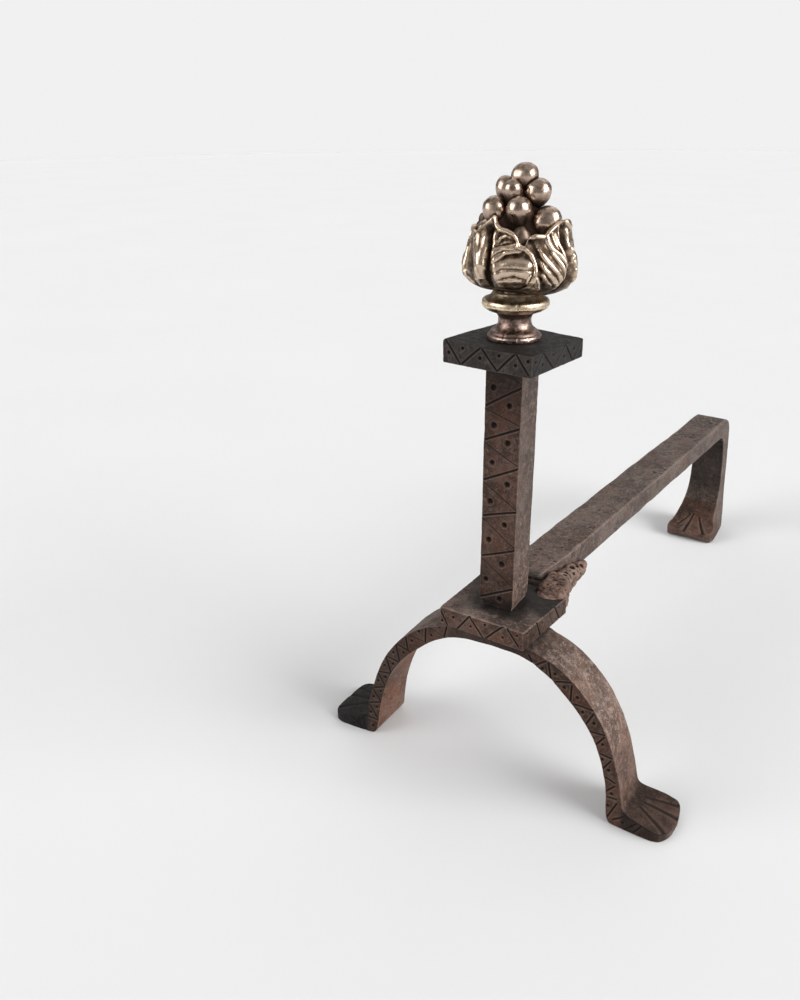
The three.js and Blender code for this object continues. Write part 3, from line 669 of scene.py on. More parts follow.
def cap_plate():
    s = CAP_SIDE / 2
    O = turned(np.array([[-s, -s, 0], [s, -s, 0], [s, s, 0], [-s, s, 0]]), CAP_TWIST)[:, :2]
    skin, face, along, edge, inset, zs = plate_skin(O, CAP_TOP, CAP_THICK, radius=0.8, corner=0.9)
    P = skin.P
    n = skin.normals()
    z0, z1 = CAP_TOP - CAP_THICK, CAP_TOP
    h = forged(P, seed=35, hammer=0.12, size=12, wave=0.4, pits=0.05)
    groove = np.zeros(h.shape)
    for which, lines, dots in ((0, CAP_FRONT_LINES, CAP_FRONT_DOTS), (1, CAP_SIDE_LINES, CAP_SIDE_DOTS),
                               (2, *regular(62, z0, z1, 3, 3.0)), (3, *regular(62, z0, z1, 3, 4.0))):
        hp, dp = side_pattern(skin, O, which, lines, dots, w=0.85, d=0.85, dot_r=1.15, dot_d=1.1)
        h, groove = h + hp, np.maximum(groove, dp)
    side = smooth(0.6, 0.2, np.abs(n[..., 2]))
    e = np.exp(-((np.broadcast_to(np.concatenate([[9], inset, [30]])[:, None], h.shape) - 0.5) / 1.2) ** 2)
    e = e * smooth(0.05, 0.5, np.abs(n[..., 2])) * smooth(0.98, 0.7, np.abs(n[..., 2]))
    e = np.maximum(e, np.broadcast_to(edge, h.shape) * side)
    # painted shade on the underside; the top and the right side are darker too
    dark = 0.80 * smooth(0.4, 0.9, n[..., 2]) + 0.6 * smooth(-0.4, -0.8, n[..., 2]) + 0.35 * smooth(0.4, 0.9, n[..., 0])
    tone_and_painted_light = -0.40 * smooth(0.4, 0.9, n[..., 2]) - 0.32 * smooth(0.4, 0.9, n[..., 0])
    across = P[..., 0] * 0.91 + P[..., 1] * 0.416
    skew = -0.034 * across * smooth(14, 30, np.abs(across)) * (0.25 + 0.75 * smooth(z0, z1, P[..., 2]))
    skin.P[..., 2] += skew
    return finish_skin("cap_plate_chased", skin, h, {
        "groove": groove, "edge": e, "dark": dark, "rust": h * 0, "tone_and_painted_light": tone_and_painted_light, "warm": 0.35 * smooth(0.4, 0.8, -n[..., 1])})


# ---------------------------------------------------------------- post
def post():
    half = POST / 2
    z0, z1 = PLATE_TOP + 0.25, CAP_TOP - CAP_THICK - 0.25
    m = int((z1 - z0) / 0.34)
    z = np.linspace(z0, z1, m)
    # the foot is set down on the plate with its lower corners hammered in
    tuck = 2.2 * np.exp(-((z - z0) / 3.2) ** 2)
    corners = []
    for i, (sx, sy) in enumerate([(-1, -1), (1, -1), (1, 1), (-1, 1)]):
        k = [1.5, 0.35, 0.6, 1.0][i]
        corners.append(np.stack([sx * (half - k * tuck), sy * (half - 0.25 * k * tuck), z], 1))
    corners = np.stack(corners, 1)
    rad = np.stack([0.65 + 0.3 * noise(np.stack([z, z * 0, z * 0 + 9.0 * k], 1), 9, 60 + k) for k in range(4)], 1)
    rings, face, along, edge = rounded(corners, rad, (72, 26, 26, 26))
    skin = Skin(rings, caps=(3, 3))
    P = skin.P
    n = skin.normals()
    front = smooth(0.25, 0.6, -n[..., 1])
    h = forged(P, seed=41, hammer=0.10, size=12, wave=0.3, pits=0.05)
    h = h * (1 - 0.3 * front)
    faint = []
    for (a0, b0, a1, b1), nxt in zip(POST_DEEP[:-1], POST_DEEP[1:]):
        faint.append((a0 + 1.2, b0 - 1.6, nxt[2] - 0.8, nxt[3] + 1.6, 0.62, 0.42))
    faint.append((-3.0, 298.0, 11.5, 287.6, 0.6, 0.34))
    deep = [(*q, 0.95, 1.05) for q in POST_DEEP]
    border = [(11.0, 133.0, 11.4, 296.0, 0.4, 0.14)]
    hp, dp = chase(P[..., 0], P[..., 2], deep + faint + border, POST_DOTS, dot_r=2.05, dot_d=1.9)
    h = h + hp * front
    groove = dp * front
    e = skin.spread(edge, 0.0)
    # painted shade on the left side, on the front under the cap, and on the front at the foot by the plate
    dark = 0.10 * front + 0.4 * smooth(0.4, 0.9, -n[..., 0]) + 0.45 * smooth(284, 298, P[..., 2]) * front
    dark = np.maximum(dark, 0.80 * smooth(142, 131, P[..., 2] - 0.25 * P[..., 0]) * front)
    rust = 0.45 * front * smooth(-0.3, 0.6, noise(P, 16, 9))
    right = smooth(0.5, 0.9, n[..., 0])
    # painted light and shade by face: the right side lighter low down and a little darker high up, the front darker,
    # most of all near the cap and near the foot
    tone_and_painted_light = -0.30 * front + right * (0.36 * smooth(200, 140, P[..., 2]) - 0.12)
    tone_and_painted_light = tone_and_painted_light - 0.32 * front * smooth(232, 284, P[..., 2]) - 0.14 * front * smooth(180, 150, P[..., 2])
    warm = 0.85 * front + 0.1 * right
    head = peened_head()
    ob = finish_skin("post_chased", skin, h, {"groove": groove, "edge": e, "dark": dark, "rust": rust, "tone_and_painted_light": tone_and_painted_light, "warm": warm})
    return join([ob, head], "post_chased")


def lathe(name, profile, around=120, wobble=0.0, seed=0, attrs=None, centre=(0, 0), step=0.6):
    """Turned body from (radius, height) pairs that start and end on the axis."""
    prof = np.array(profile, float)
    s = np.concatenate([[0], np.cumsum(np.linalg.norm(np.diff(prof, axis=0), axis=1))])
    q = []
    for a, b in zip(s[:-1], s[1:]):
        k = max(1, int(round((b - a) / step)))
        q += list(a + (b - a) * np.arange(k) / k)
    q = np.array(q + [s[-1]])
    fine = pchip(s, prof, q)[1:-1]
    fine[:, 0] = np.maximum(fine[:, 0], 0.05)
    th = np.arange(around) / around * 2 * math.pi
    rings = np.stack([np.outer(fine[:, 0], np.cos(th)) + centre[0], np.outer(fine[:, 0], np.sin(th)) + centre[1],
                      np.repeat(fine[:, 1:2], around, 1)], -1)
    skin = Skin(rings, caps=(0, 0))
    skin.tips = np.array([[centre[0], centre[1], prof[0, 1]], [centre[0], centre[1], prof[-1, 1]]])
    return skin


def peened_head():
    top = 108.0
    skin = lathe("head", [(0, 112), (6, 112), (6, top + 0.2), (9.0, top), (9.6, top - 0.9), (9.2, top - 2.0), (7.4, top - 3.4),
                          (4.4, top - 4.0), (0, top - 4.2)], 72)
    h = forged(skin.P, seed=47, hammer=0.35, size=5, wave=0.3, pits=0.05)
    z = np.zeros(h.shape)
    return finish_skin("peened_head", skin, h, {"groove": z, "edge": z, "dark": z + 0.6, "rust": z + 0.2, "tone_and_painted_light": z, "warm": z})


def join(objects, name):
    """One object from several, keeping their point attributes."""
    first = objects[0]
    with bpy.context.temp_override(active_object=first, selected_objects=objects, selected_editable_objects=objects):
        bpy.ops.object.join()
    first.name = name
    first.data.name = name
    return first


# ---------------------------------------------------------------- log bar
def log_bar():
    mid = (BAR[:, 0:2] + BAR[:, 2:4]) / 2
    s = np.concatenate([[0], np.cumsum(np.linalg.norm(np.diff(mid, axis=0), axis=1))])
    foot = s[-7]
    q = [0.0]
    while q[-1] < s[-1]:
        d = 0.45 if q[-1] > s[-1] - 62 or q[-1] < 8 else 1.0
        q.append(q[-1] + d)
    q = np.array(q[:-1] + [s[-1]])
    r = pchip(s, BAR, q)
    xl, xr = BAR_LEFT - r[:, 4], BAR_RIGHT + r[:, 5]
    corners = np.stack([np.stack([xl, r[:, 0], r[:, 1]], 1), np.stack([xr, r[:, 0], r[:, 1]], 1),
                        np.stack([xr, r[:, 2], r[:, 3]], 1), np.stack([xl, r[:, 2], r[:, 3]], 1)], 1)
    rad = np.stack([1.7 + 0.8 * noise(np.stack([q, q * 0, q * 0 + 9.0 * k], 1), 16, 70 + k) for k in range(4)], 1)
    rings, face, along, edge = rounded(corners, rad, (34, 18, 44, 18), arc=6)
    rings = turned(rings, BAR_TWIST)
    skin = Skin(rings, caps=(4, 5), cap_bulge=(1.6, 1.2))
    P = skin.P
    n = skin.normals()
    h = forged(P, seed=81, hammer=0.17, size=15, wave=0.5, pits=0.07)
    B = turned(P, -BAR_TWIST)
    groove = np.zeros(h.shape)
    infoot = (B[..., 2] < 34) & (B[..., 1] < 460)
    up = smooth(0.15, 0.5, n[..., 2]) * infoot
    cuts = [(-10.5, 448, -18.5, 432, 0.8, 1.8, 0.9), (-7.6, 448, -9.4, 424.0, 1.0, 2.6, 1.6), (-0.6, 446, 11.6, 425.0, 1.0, 2.6, 1.6)]
    hc, dc = chisel(B[..., 0], B[..., 1], cuts)
    h = h + hc * up
    groove = np.maximum(groove, dc * up)
    e = skin.spread(edge, 0.5)
    x, y, z = B[..., 0], B[..., 1], B[..., 2]
    # rough, flaking skin on the bar's top and on the front of the rear leg
    rough = smooth(-0.1, 0.6, noise(P, 24, 91)) * smooth(0.5, 0.9, n[..., 2])
    h = h - 0.42 * rough * smooth(0.05, 0.6, fbm(P, 6.0, 3, 0.6, 95)) - 0.14 * smooth(0.3, 0.7, noise(P * [1, 0.6, 1], 3.0, 96)) * smooth(0.5, 0.9, n[..., 2])
    inner = smooth(0.4, 0.9, -n[..., 1]) * (y > 440)
    h = h - 0.5 * inner * smooth(0.0, 0.7, fbm(P, 7.0, 3, 0.6, 97))
    # painted shade on the front of the rear leg, on the underside of the bar, and at its nose by the post
    dark = 0.55 * inner * smooth(30, 60, z) + 0.25 * inner
    dark = np.maximum(dark, 0.75 * smooth(-0.3, -0.8, n[..., 2]) * (y < 470))
    dark = np.maximum(dark, 0.7 * smooth(43, 36, y) * (y < 60))
    rust = 0.5 * infoot + 0.45 * smooth(0.1, 0.7, noise(P, 30, 98)) * smooth(420, 300, y)
    e = e * (0.30 + 0.5 * smooth(-0.2, 0.7, noise(P, 9, 99)))
    # darker tone on the foot and further along the bar, and painted shade on the front of the rear leg
    tone_and_painted_light = -0.32 * infoot - 0.08 * smooth(120, 300, y) * (1 - infoot) - 0.12 * inner
    warm = 0.8 * infoot + 0.15 * smooth(200, 60, y) + 0.3 * inner
    return finish_skin("log_bar_forged", skin, h, {
        "groove": groove, "edge": e, "dark": dark, "rust": rust.astype(float), "tone_and_painted_light": tone_and_painted_light, "warm": np.clip(warm, 0, 1)})


# ---------------------------------------------------------------- tongue
# Centres and half sizes.
SWELLINGS = [
    (26.0, 27.0, 127.0, 11.5, 9.5, 5.2), (24.0, 23.5, 126.8, 11.0, 8.0, 3.2), (33.2, 27.2, 123.4, 4.2, 4.2, 6.4), (24.0, 38, 126.0, 9.4, 10.5, 5.8),
    (22.0, 49, 125.0, 7.5, 9.5, 5.8), (20.6, 61, 122.6, 6.8, 9.0, 6.0), (21.0, 74, 120.4, 6.2, 9.5, 6.4), (21.8, 87, 117.6, 5.6, 8.0, 5.6),
    (19.0, 99, 114.4, 4.8, 7.5, 4.4),
]
HOLES = [
    (21.8, 73, 127.0, 1.7, 1.8), (23.4, 78.5, 125.6, 1.2, 1.6), (21.6, 82, 124.6, 1.8, 2.0), (23.8, 86.5, 122.6, 1.3, 1.6), (22.4, 67.5, 127.6, 1.1, 1.3),
    (25.2, 80, 121.6, 1.0, 1.1), (22.0, 60, 128.6, 1.1, 1.2), (25.6, 69, 123.5, 1.0, 1.1), (27.0, 31, 131.5, 1.1, 1.1), (22.6, 41, 131.6, 0.9, 1.0),
    (30.6, 33, 130.6, 1.1, 1.0), (27.6, 44, 129.0, 1.2, 1.1), (19.6, 31, 131.6, 0.9, 0.9), (24.6, 52, 129.6, 1.2, 1.2),
]


def tongue():
    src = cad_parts["bar_tongue"].data.copy()
    ob = bpy.data.objects.new("bar_tongue_forged", src)
    bpy.context.scene.collection.objects.link(ob)
    src.materials.clear()
    # swellings that the weld squeezed out, along the bar's side and over the plate's corner
    parts = [ob]
    for n, (x, y, z, a, b, c) in enumerate(SWELLINGS):
        around, up = 40, 24
        th = np.arange(around) / around * 2 * math.pi
        el = (np.arange(up) + 0.5) / up * math.pi - math.pi / 2
        unit = np.stack([np.outer(np.cos(el), np.cos(th)), np.outer(np.cos(el), np.sin(th)), np.outer(np.sin(el), np.ones(around))], -1)
        ball = Skin(unit * [a, b, c] + [x, y, z], caps=(0, 0))
        ball.tips = np.array([[x, y, z - c], [x, y, z + c]])
        quads, tris = ball.faces()
        part = bpy.data.meshes.new("swelling")
        part.from_pydata(metres(np.concatenate([ball.P.reshape(-1, 3), ball.tips])).tolist(), [], quads.tolist() + tris.tolist())
        part.update()
        piece = bpy.data.objects.new("swelling", part)
        bpy.context.scene.collection.objects.link(piece)
        parts.append(piece)
    ob = join(parts, "bar_tongue_forged")
    m = ob.modifiers.new("voxels", "REMESH")
    m.mode = "VOXEL"
    m.voxel_size = 0.00062
    s = ob.modifiers.new("soften", "SMOOTH")
    s.factor = 0.6
    s.iterations = 22
    dg = bpy.context.evaluated_depsgraph_get()
    me = bpy.data.meshes.new_from_object(ob.evaluated_get(dg))
    ob.modifiers.clear()
    ob.data = me
    n = len(me.vertices)
    co = np.zeros(n * 3)
    me.vertices.foreach_get("co", co)
    P = (co.reshape(-1, 3) - AXIS) * 1000
    nr = np.zeros(n * 3, np.float32)
    me.vertex_normals.foreach_get("vector", nr)
    nr = nr.reshape(-1, 3).astype(float)
    h = 0.8 * fbm(P, 13, 2, 0.5, 7) + 0.68 * fbm(P, 4.6, 3, 0.6, 8) + 0.24 * noise(P, 1.9, 9) + 0.1
    right = smooth(10, 17, P[:, 0]) * smooth(-0.5, 0.2, nr[:, 0] + nr[:, 2] - 0.4 * nr[:, 1])
    # pores of all sizes in the burnt weld metal
    d1, who1 = cells(P + 0.5 * np.stack([noise(P, 2, 71), noise(P, 2, 72), noise(P, 2, 73)], -1), 2.5, 17)
    d2, who2 = cells(P, 4.6, 18)
    pore = np.maximum(smooth(0.36, 0.12, d1) * (who1 > 0.80) * 0.5, smooth(0.26, 0.10, d2) * (who2 > 0.82) * 0.8)
    h -= right * pore
    pit = 0.6 * right * pore
    for (x, y, z, r, d) in HOLES:
        q = P - np.array([x, y, z])
        dist = np.linalg.norm(q, axis=1) * (1 + 0.35 * noise(P, 2.2, 23))
        v = np.clip(1 - dist / (r * 2.0), 0, 1)
        pit = np.maximum(pit, smooth(0.0, 0.5, v))
        h -= d * smooth(0.0, 0.55, v)
    # keep clear of the bar and of the plate
    h = np.where(nr[:, 2] < -0.5, np.minimum(h, 0.0), h)
    h = np.clip(h, -2.2, 1.6)
    P = P + nr * h[:, None]
    me.vertices.foreach_set("co", metres(P).reshape(-1))
    me.update()
    rust = 0.7 + 0.3 * noise(P, 12, 19)
    # painted shade on the underside
    dark = 0.2 * smooth(-0.2, -0.7, nr[:, 2])
    # painted shade: black in the slit between the post and the bar's nose
    dark = np.maximum(dark, 0.97 * smooth(20, 15, P[:, 0]) * smooth(42, 35, P[:, 1]))
    return dress(ob, {"groove": smooth(0.25, 0.9, pit), "edge": pit * 0, "dark": dark, "rust": rust,
                      "tone_and_painted_light": 0.22 + 0.40 * fbm(P, 6, 3, 0.6, 20), "warm": 0.5 + 0.25 * noise(P, 9, 21)})


# ---------------------------------------------------------------- finial
LAT, TOWARD = np.array([0.91, 0.416]), np.array([0.416, -0.91])
LAT, TOWARD = LAT / np.linalg.norm(LAT), TOWARD / np.linalg.norm(TOWARD)
BUD_SHIFT = 1.4
CUP_Z = [338.9, 339.6, 341, 344, 348, 352, 356, 360, 364, 368, 373, 380, 388]
CUP_R = [13.4, 17.6, 23.2, 29.2, 32.6, 33.9, 34.2, 33.6, 32.5, 31.2, 29.5, 27.9, 27.0]
TIP = -33.0        # a leaf's tip, in degrees to the right of the viewer; three more follow at 90 apart

# Top edge of one leaf's quarter: degrees from its tip, height.
EDGE = [(-51.5, 371.0), (-48.5, 374.0), (-46, 375.6), (-40, 376.6), (-29, 376.1), (-27, 376.3), (-24, 378.4), (-17, 380.6),
        (-6, 384.2), (-1.2, 386.2), (0.8, 386.2), (3.6, 382.4), (9.1, 380.2), (18.1, 379.3), (26, 377.5), (30, 374.9),
        (32.0, 371.6), (37.5, 370.2), (38.5, 371.0)]
# Raised lines on one leaf: degrees from its tip and height, then half width and height in mm.
RAISED = [
    ([(0.4, 386), (3.6, 382), (9.1, 379.8), (18.1, 378.9), (26, 377), (30.0, 374.3), (31.3, 371.0), (34, 370.2), (38.2, 369.7),
      (44.7, 366.8), (48.3, 362.7), (49.1, 357.9), (47.6, 353.9), (44.5, 351.0)], 0.95, 1.25),
    ([(-51.6, 372.3), (-47.4, 375), (-39.9, 376.2), (-28.4, 375.8), (-25.2, 377.6), (-16.9, 380.2), (-5.6, 383.8), (0, 385.6)], 0.8, 0.35),
    ([(-27.0, 376.2), (-25.2, 373.2), (-22, 370), (-12.1, 364), (-5.2, 358.4), (-4.6, 352)], 1.1, 1.2),
    ([(-23.6, 369.4), (-20, 365.8), (-13.4, 360.4), (-8.2, 355.0), (-6.6, 350.2)], 0.9, 0.75),
    ([(-14.4, 376.0), (-11.0, 370.6), (-6.6, 364.0), (-5.4, 359)], 1.1, 0.9),
    ([(3.6, 366.2), (8.0, 368.6), (15.0, 370.2), (24.0, 370.6), (30.6, 371.2)], 1.15, 1.1),
    ([(6.0, 362.4), (11.0, 365.6), (18.3, 367.4), (26.3, 368.2), (33, 369.4)], 1.05, 1.05),
    ([(7.6, 358.8), (14.4, 361.3), (24.1, 362.4), (36.8, 361.8), (45, 360.4)], 1.9, 0.95),
    ([(9.4, 354.4), (17.6, 356.6), (27.7, 357.3), (37.6, 356.6), (44, 355.4)], 1.7, 0.9),
    ([(11.4, 350.8), (20.0, 352.4), (29.0, 352.9), (37.0, 352.2)], 1.3, 0.6),
    ([(7.2, 372.4), (11.0, 375.2), (17.5, 376.4), (24.0, 375.2)], 0.7, 0.45),
    ([(11.0, 371.4), (15.0, 372.9), (20.6, 373.3), (25.4, 372.9)], 0.6, 0.35),
    ([(40.3, 349.6), (41.6, 353.0), (44.0, 356.2)], 0.5, 0.9),
    ([(44.0, 356.0), (51.0, 353.6), (55.6, 348.6), (58.4, 344.6)], 0.8, 0.8),
]
# Veins of a leaf's left half; the leaf at the viewer's left hides its own.
VEINS = [
    ([(-36.6, 368.6), (-28.7, 363.1), (-20.3, 357.8), (-12.4, 351.6)], 0.95, 0.85),
    ([(-37.8, 363.2), (-32, 359), (-24.3, 354.0), (-15, 348.8)], 0.95, 0.8),
    ([(-37.4, 357.0), (-29, 351.9), (-20, 347.4)], 0.85, 0.65),
    ([(-20.4, 378.6), (-17.6, 373.8), (-14.0, 369.6)], 0.7, 0.4),
    ([(-10.4, 381.6), (-8.0, 376.6), (-4.6, 371.0)], 0.7, 0.45),
]
# Broad swellings (positive) and hollows (negative).
BROAD = [
    ([(3.4, 377), (4.4, 371), (6.4, 365), (8.6, 359.6), (11.0, 354), (13.6, 349.6)], 2.1, 1.5),
    ([(-11.5, 366), (-9.5, 360), (-9.0, 354), (-11, 349)], 3.4, 1.8),
    ([(48, 351.6), (51.5, 348), (54.5, 344.8)], 2.6, 1.7),
    ([(-3.6, 378.5), (-3.0, 372), (-1.6, 365), (-0.4, 357), (-0.8, 350), (-1.2, 344)], 1.9, -3.0),
    ([(-1.0, 356), (-2.0, 349), (-2.2, 343)], 4.0, -3.0),
    ([(43, 373.4), (48, 370.6), (51.5, 366.5), (53.2, 361), (53.9, 355.5), (57.0, 351.6), (61.4, 347), (64, 342)], 1.5, -2.1),
    ([(60, 350), (63.5, 346.4), (66, 342)], 3.2, -2.4),
    ([(19, 346.6), (27, 346.0), (36, 347.0), (41, 348.8)], 1.7, -2.8),
    ([(15, 374.2), (22, 374.4)], 2.8, -0.9),
    ([(17, 365.2), (28, 365.6), (38, 365.2)], 2.2, -1.3),
    ([(18, 355.0), (30, 355.8), (40, 355.4)], 1.6, -0.6),
]


def cup_radius(z):
    return np.interp(z, CUP_Z, CUP_R)


def leaf_relief(phi, z, warp):
    """Relief of the four folded leaves in mm, and how much of it is a cut or raised line."""
    rise, sink = np.zeros(phi.shape), np.zeros(phi.shape)
    lines = np.zeros(phi.shape)
    radius = cup_radius(z)
    for k in range(4):
        d = (phi - TIP - 90 * k + 180) % 360 - 180
        near = np.flatnonzero((d > -72) & (d < 84))
        x = d[near] * math.pi / 180 * radius[near] + warp[near]
        y = z[near] + 0.6 * warp[near]
        r0 = radius[near]
        up, low, raised = np.zeros(len(near)), np.zeros(len(near)), np.zeros(len(near))
        for group, broad in ((BROAD, True), (RAISED + (VEINS if k else []), False)):
            for pts, w, hgt in group:
                if not broad and k == 0 and pts[0][0] < 0:
                    w, hgt = w * 1.7, hgt * 0.8
                best = np.full(len(near), 99.0)
                span = np.zeros(len(near))
                count = len(pts) - 1
                for n in range(count):
                    (a0, b0), (a1, b1) = pts[n], pts[n + 1]
                    ra = math.pi / 180 * np.interp((b0 + b1) / 2, CUP_Z, CUP_R)
                    m = np.flatnonzero((x > min(a0, a1) * ra - 8) & (x < max(a0, a1) * ra + 8) & (y > min(b0, b1) - 8) & (y < max(b0, b1) + 8))
                    if not len(m):
                        continue
                    sx = x[m] / (r0[m] * math.pi / 180) * ra
                    L2 = ((a1 - a0) * ra) ** 2 + (b1 - b0) ** 2
                    t = np.clip(((sx - a0 * ra) * (a1 - a0) * ra + (y[m] - b0) * (b1 - b0)) / L2, 0, 1)
                    dist = np.hypot(sx - (a0 + (a1 - a0) * t) * ra, y[m] - b0 - (b1 - b0) * t)
                    closer = dist < best[m]
                    best[m] = np.where(closer, dist, best[m])
                    span[m] = np.where(closer, (n + t) / count, span[m])
                fade = smooth(0, 0.14, span) * smooth(1.0, 0.86, span) * 0.6 + 0.4
                if broad:
                    g = np.exp(-(best / w) ** 2) * hgt
                    if hgt > 0:
                        up = np.maximum(up, g)
                    else:
                        low = np.minimum(low, g)
                else:
                    wave = 1 + 0.12 * np.sin(span * 7 + 2.1 * pts[0][0]) + 0.06 * np.sin(span * 17 + pts[0][1])
                    g = hgt * fade * (0.8 + 0.2 * wave) * np.clip(1 - (best / (w * 1.75 * wave)) ** 2, 0, 1) ** 1.1
                    raised = np.maximum(raised, g)
        rise[near] = np.maximum(rise[near], up)
        sink[near] = np.minimum(sink[near], low)
        lines[near] = np.maximum(lines[near], raised)
    return rise * (1 + np.clip(sink / 3, -1, 0)) + sink, lines


def leaf_cup():
    cols = 600
    phi = np.arange(cols) / cols * 360.0 - 180
    # degrees from the nearest leaf's tip, and the free top edge there
    d = (phi - TIP + 51.5) % 90 - 51.5
    ex, ez = np.array(EDGE).T
    top = np.interp(d, ex, ez)
    lobe_x, lobe_z = zip(*[(20, 376.5), (28, 376.1), (30, 376.3), (33, 378.0), (40, 380.4), (50, 382.2), (58, 383.0), (66, 383.2), (70, 382.6),
                           (73, 380.8), (80, 379.6), (87, 378.4)])
    top = np.where((phi > 20) & (phi < 87), np.interp(phi, lobe_x, lobe_z), top)
    top = top - 5.0 * np.exp(-((phi + 123) / 17) ** 2) + 2.0 * np.exp(-((phi + 121) / 4) ** 2)
    far = smooth(88, 112, np.abs(phi))
    top = top + far * 1.0 * np.sin(np.radians(phi * 2.3 + 40))
    kernel = np.array([1, 2, 3, 2, 1]) / 9
    top = sum(kernel[k + 2] * np.roll(top, k) for k in range(-2, 3))
    base = 338.95
    t = np.concatenate([np.linspace(0, 1, 128)])
    thick = 2.2
    rows = []
    # the lobes hang lower on the viewer's right and end higher on the left
    hang = np.interp(phi, [-180, -130, -98, -50, -40, -25, 0, 20, 29, 45, 75, 90, 115, 150, 180],
                     [1.0, 1.0, 3.2, 3.7, 5.2, 4.7, 4.5, 3.6, 2.5, 2.1, -0.1, -1.2, -0.6, 1.0, 1.0])
    for v in t:
        z = base + (top - base) * v
        rows.append((cup_radius(z - hang * smooth(364, 348, z)), z, np.ones(cols)))
    outer = len(rows)
    rt = cup_radius(top)
    for k in range(1, 6):
        a = k / 6 * math.pi
        rows.append((rt - thick / 2 + thick / 2 * math.cos(a), top + 0.75 * thick / 2 * math.sin(a), np.full(cols, 1 - k / 6)))
    for v in np.linspace(0, 1, 16)[1:]:
        z = top - v * 17
        rows.append((np.maximum(cup_radius(z) - thick - 3.0 * v, 8), z, np.zeros(cols)))
    r = np.array([q[0] for q in rows])
    z = np.array([q[1] for q in rows])
    on = np.array([q[2] for q in rows])
    PH = np.broadcast_to(np.radians(phi), r.shape)
    pos = lambda rr: np.stack([(rr * np.sin(PH)) * LAT[0] + (rr * np.cos(PH)) * TOWARD[0],
                               (rr * np.sin(PH)) * LAT[1] + (rr * np.cos(PH)) * TOWARD[1], z], -1)
    P = pos(r)
    away = smooth(70, 100, np.abs(np.degrees(PH)))
    warp = (1.1 * noise(P, 11, 301)) * away + 0.25 * noise(P, 5, 302)
    zz = np.minimum(z, np.broadcast_to(top, z.shape))
    relief, lines = leaf_relief(np.degrees(PH).reshape(-1), zz.reshape(-1), warp.reshape(-1))
    relief, lines = relief.reshape(r.shape), lines.reshape(r.shape)
    deg = np.degrees(PH)
    calm = 1 - 0.65 * smooth(68, 76, deg) * smooth(112, 100, deg) - 0.6 * smooth(-62, -72, deg) * smooth(-110, -98, deg)
    relief = relief * (0.4 + 0.6 * calm)
    lines = lines * calm
    low = smooth(340.5, 345.0, z - hang)
    grain = 0.10 * fbm(P, 1.5, 2, 0.6, 305) * calm + 0.22 * noise(P, 7, 306)
    # between the raised lines the ground is stippled and a little sunk
    ground = -0.25 * smooth(0.5, 0.0, lines) + 0.13 * (noise(P, 1.25, 307)) * smooth(0.4, 0.0, lines) * calm
    # the free edge curls out a little
    curl = 0.9 * smooth(4.0, 0.0, np.broadcast_to(top, z.shape) - z) * smooth(374, 379, np.broadcast_to(top, z.shape))
    rr = r + on * (low * (relief + lines + ground + curl) + 0.5 * grain) - (1 - on) * 0.3 * noise(P, 4, 308)
    rr = rr + 1.8 * np.exp(-((np.degrees(PH) - 68) / 9) ** 2) * smooth(372, 382, z)
    # inner wall keeps its thickness behind deep cuts
    skin = Skin(pos(np.maximum(rr, 9)), caps=(0, 0))
    skin.tips = np.array([[0, 0, base + 0.2], [0, 0, float(z[-1].mean()) - 3.0]])
    skin.P[..., 0] += LAT[0] * BUD_SHIFT * low
    skin.P[..., 1] += LAT[1] * BUD_SHIFT * low
    # painted shade inside the cup below its free edge, in the deep hollows of the relief, and low down under the
    # hanging lobes
    deep = smooth(0.55, 0.0, on) * smooth(0.2, 3.2, np.broadcast_to(top, z.shape) - z)
    deep = np.maximum(deep, smooth(-1.0, -2.6, relief) * on)
    under = z - hang + 1.0 * noise(P, 7, 309)
    deep = np.maximum(deep, 0.85 * smooth(345.5, 342.0, under) * smooth(338.6, 340.4, z - hang))
    deep = np.maximum(deep, 0.30 * smooth(342.0, 340.0, z - hang))
    between = smooth(0.50, 0.0, lines) * smooth(0.9, 0.1, relief) * smooth(-0.7, 0.25, fbm(P, 3.4, 3, 0.6, 310) + 0.1)
    between = between * (0.86 - 0.45 * smooth(-56, -66, deg) - 0.45 * smooth(60, 70, deg))
    deep = np.maximum(deep, between * on)
    deep = np.maximum(deep, 0.9 * np.exp(-((deg + 118) / 14) ** 2) * smooth(10, 5, np.broadcast_to(top, z.shape) - z))
    quads, tris = skin.faces()
    at = {"dark": deep, "line": np.clip(lines, 0, 1) * on}
    at = {k: np.concatenate([v.reshape(-1), [1.0, 1.0]]) for k, v in at.items()}
    return make_mesh("leaf_cup", np.concatenate([skin.P.reshape(-1, 3), skin.tips]), quads, tris, at, 8)


# Berries: across from the axis, towards the viewer, height, radius, height over width, drop of the tail.
BERRIES = [
    (2.4, 0.4, 406.2, 7.7, 0.98, 0.0),
    (9.9, 3.0, 397.4, 8.3, 0.97, 0.8), (-7.8, -3.4, 398.6, 6.3, 1.22, 0.6), (-4.0, 8.3, 398.4, 5.6, 1.22, 1.6), (4.2, -9.6, 397.6, 7.5, 1.0, 0.0),
    (-13.4, 5.4, 387.6, 7.4, 1.12, 1.2), (-0.1, 13.4, 388.2, 7.8, 1.06, 6.0), (15.4, 7.8, 381.6, 9.2, 0.97, 1.0),
    (-10.0, -13.8, 386.6, 7.8, 1.0, 0.0), (7.0, -15.8, 386.2, 7.8, 1.0, 1.2), (13.6, -9.4, 381.6, 7.2, 1.0, 0.0),
    (-17.2, -6.8, 374.0, 7.8, 1.0, 0.0), (1.4, 17.6, 370.4, 6.4, 1.5, 0.0), (-14.6, 12.4, 372.4, 7.6, 1.0, 0.0),
    (13.0, 16.4, 366.2, 7.6, 1.0, 0.0), (-3.0, -20.2, 375.2, 8.0, 1.0, 0.0), (14.6, -15.4, 375.4, 7.8, 1.0, 0.0),
    (-15.6, -15.2, 375.2, 7.6, 1.0, 0.0), (20.4, -3.0, 373.4, 7.4, 1.0, 0.0),
]


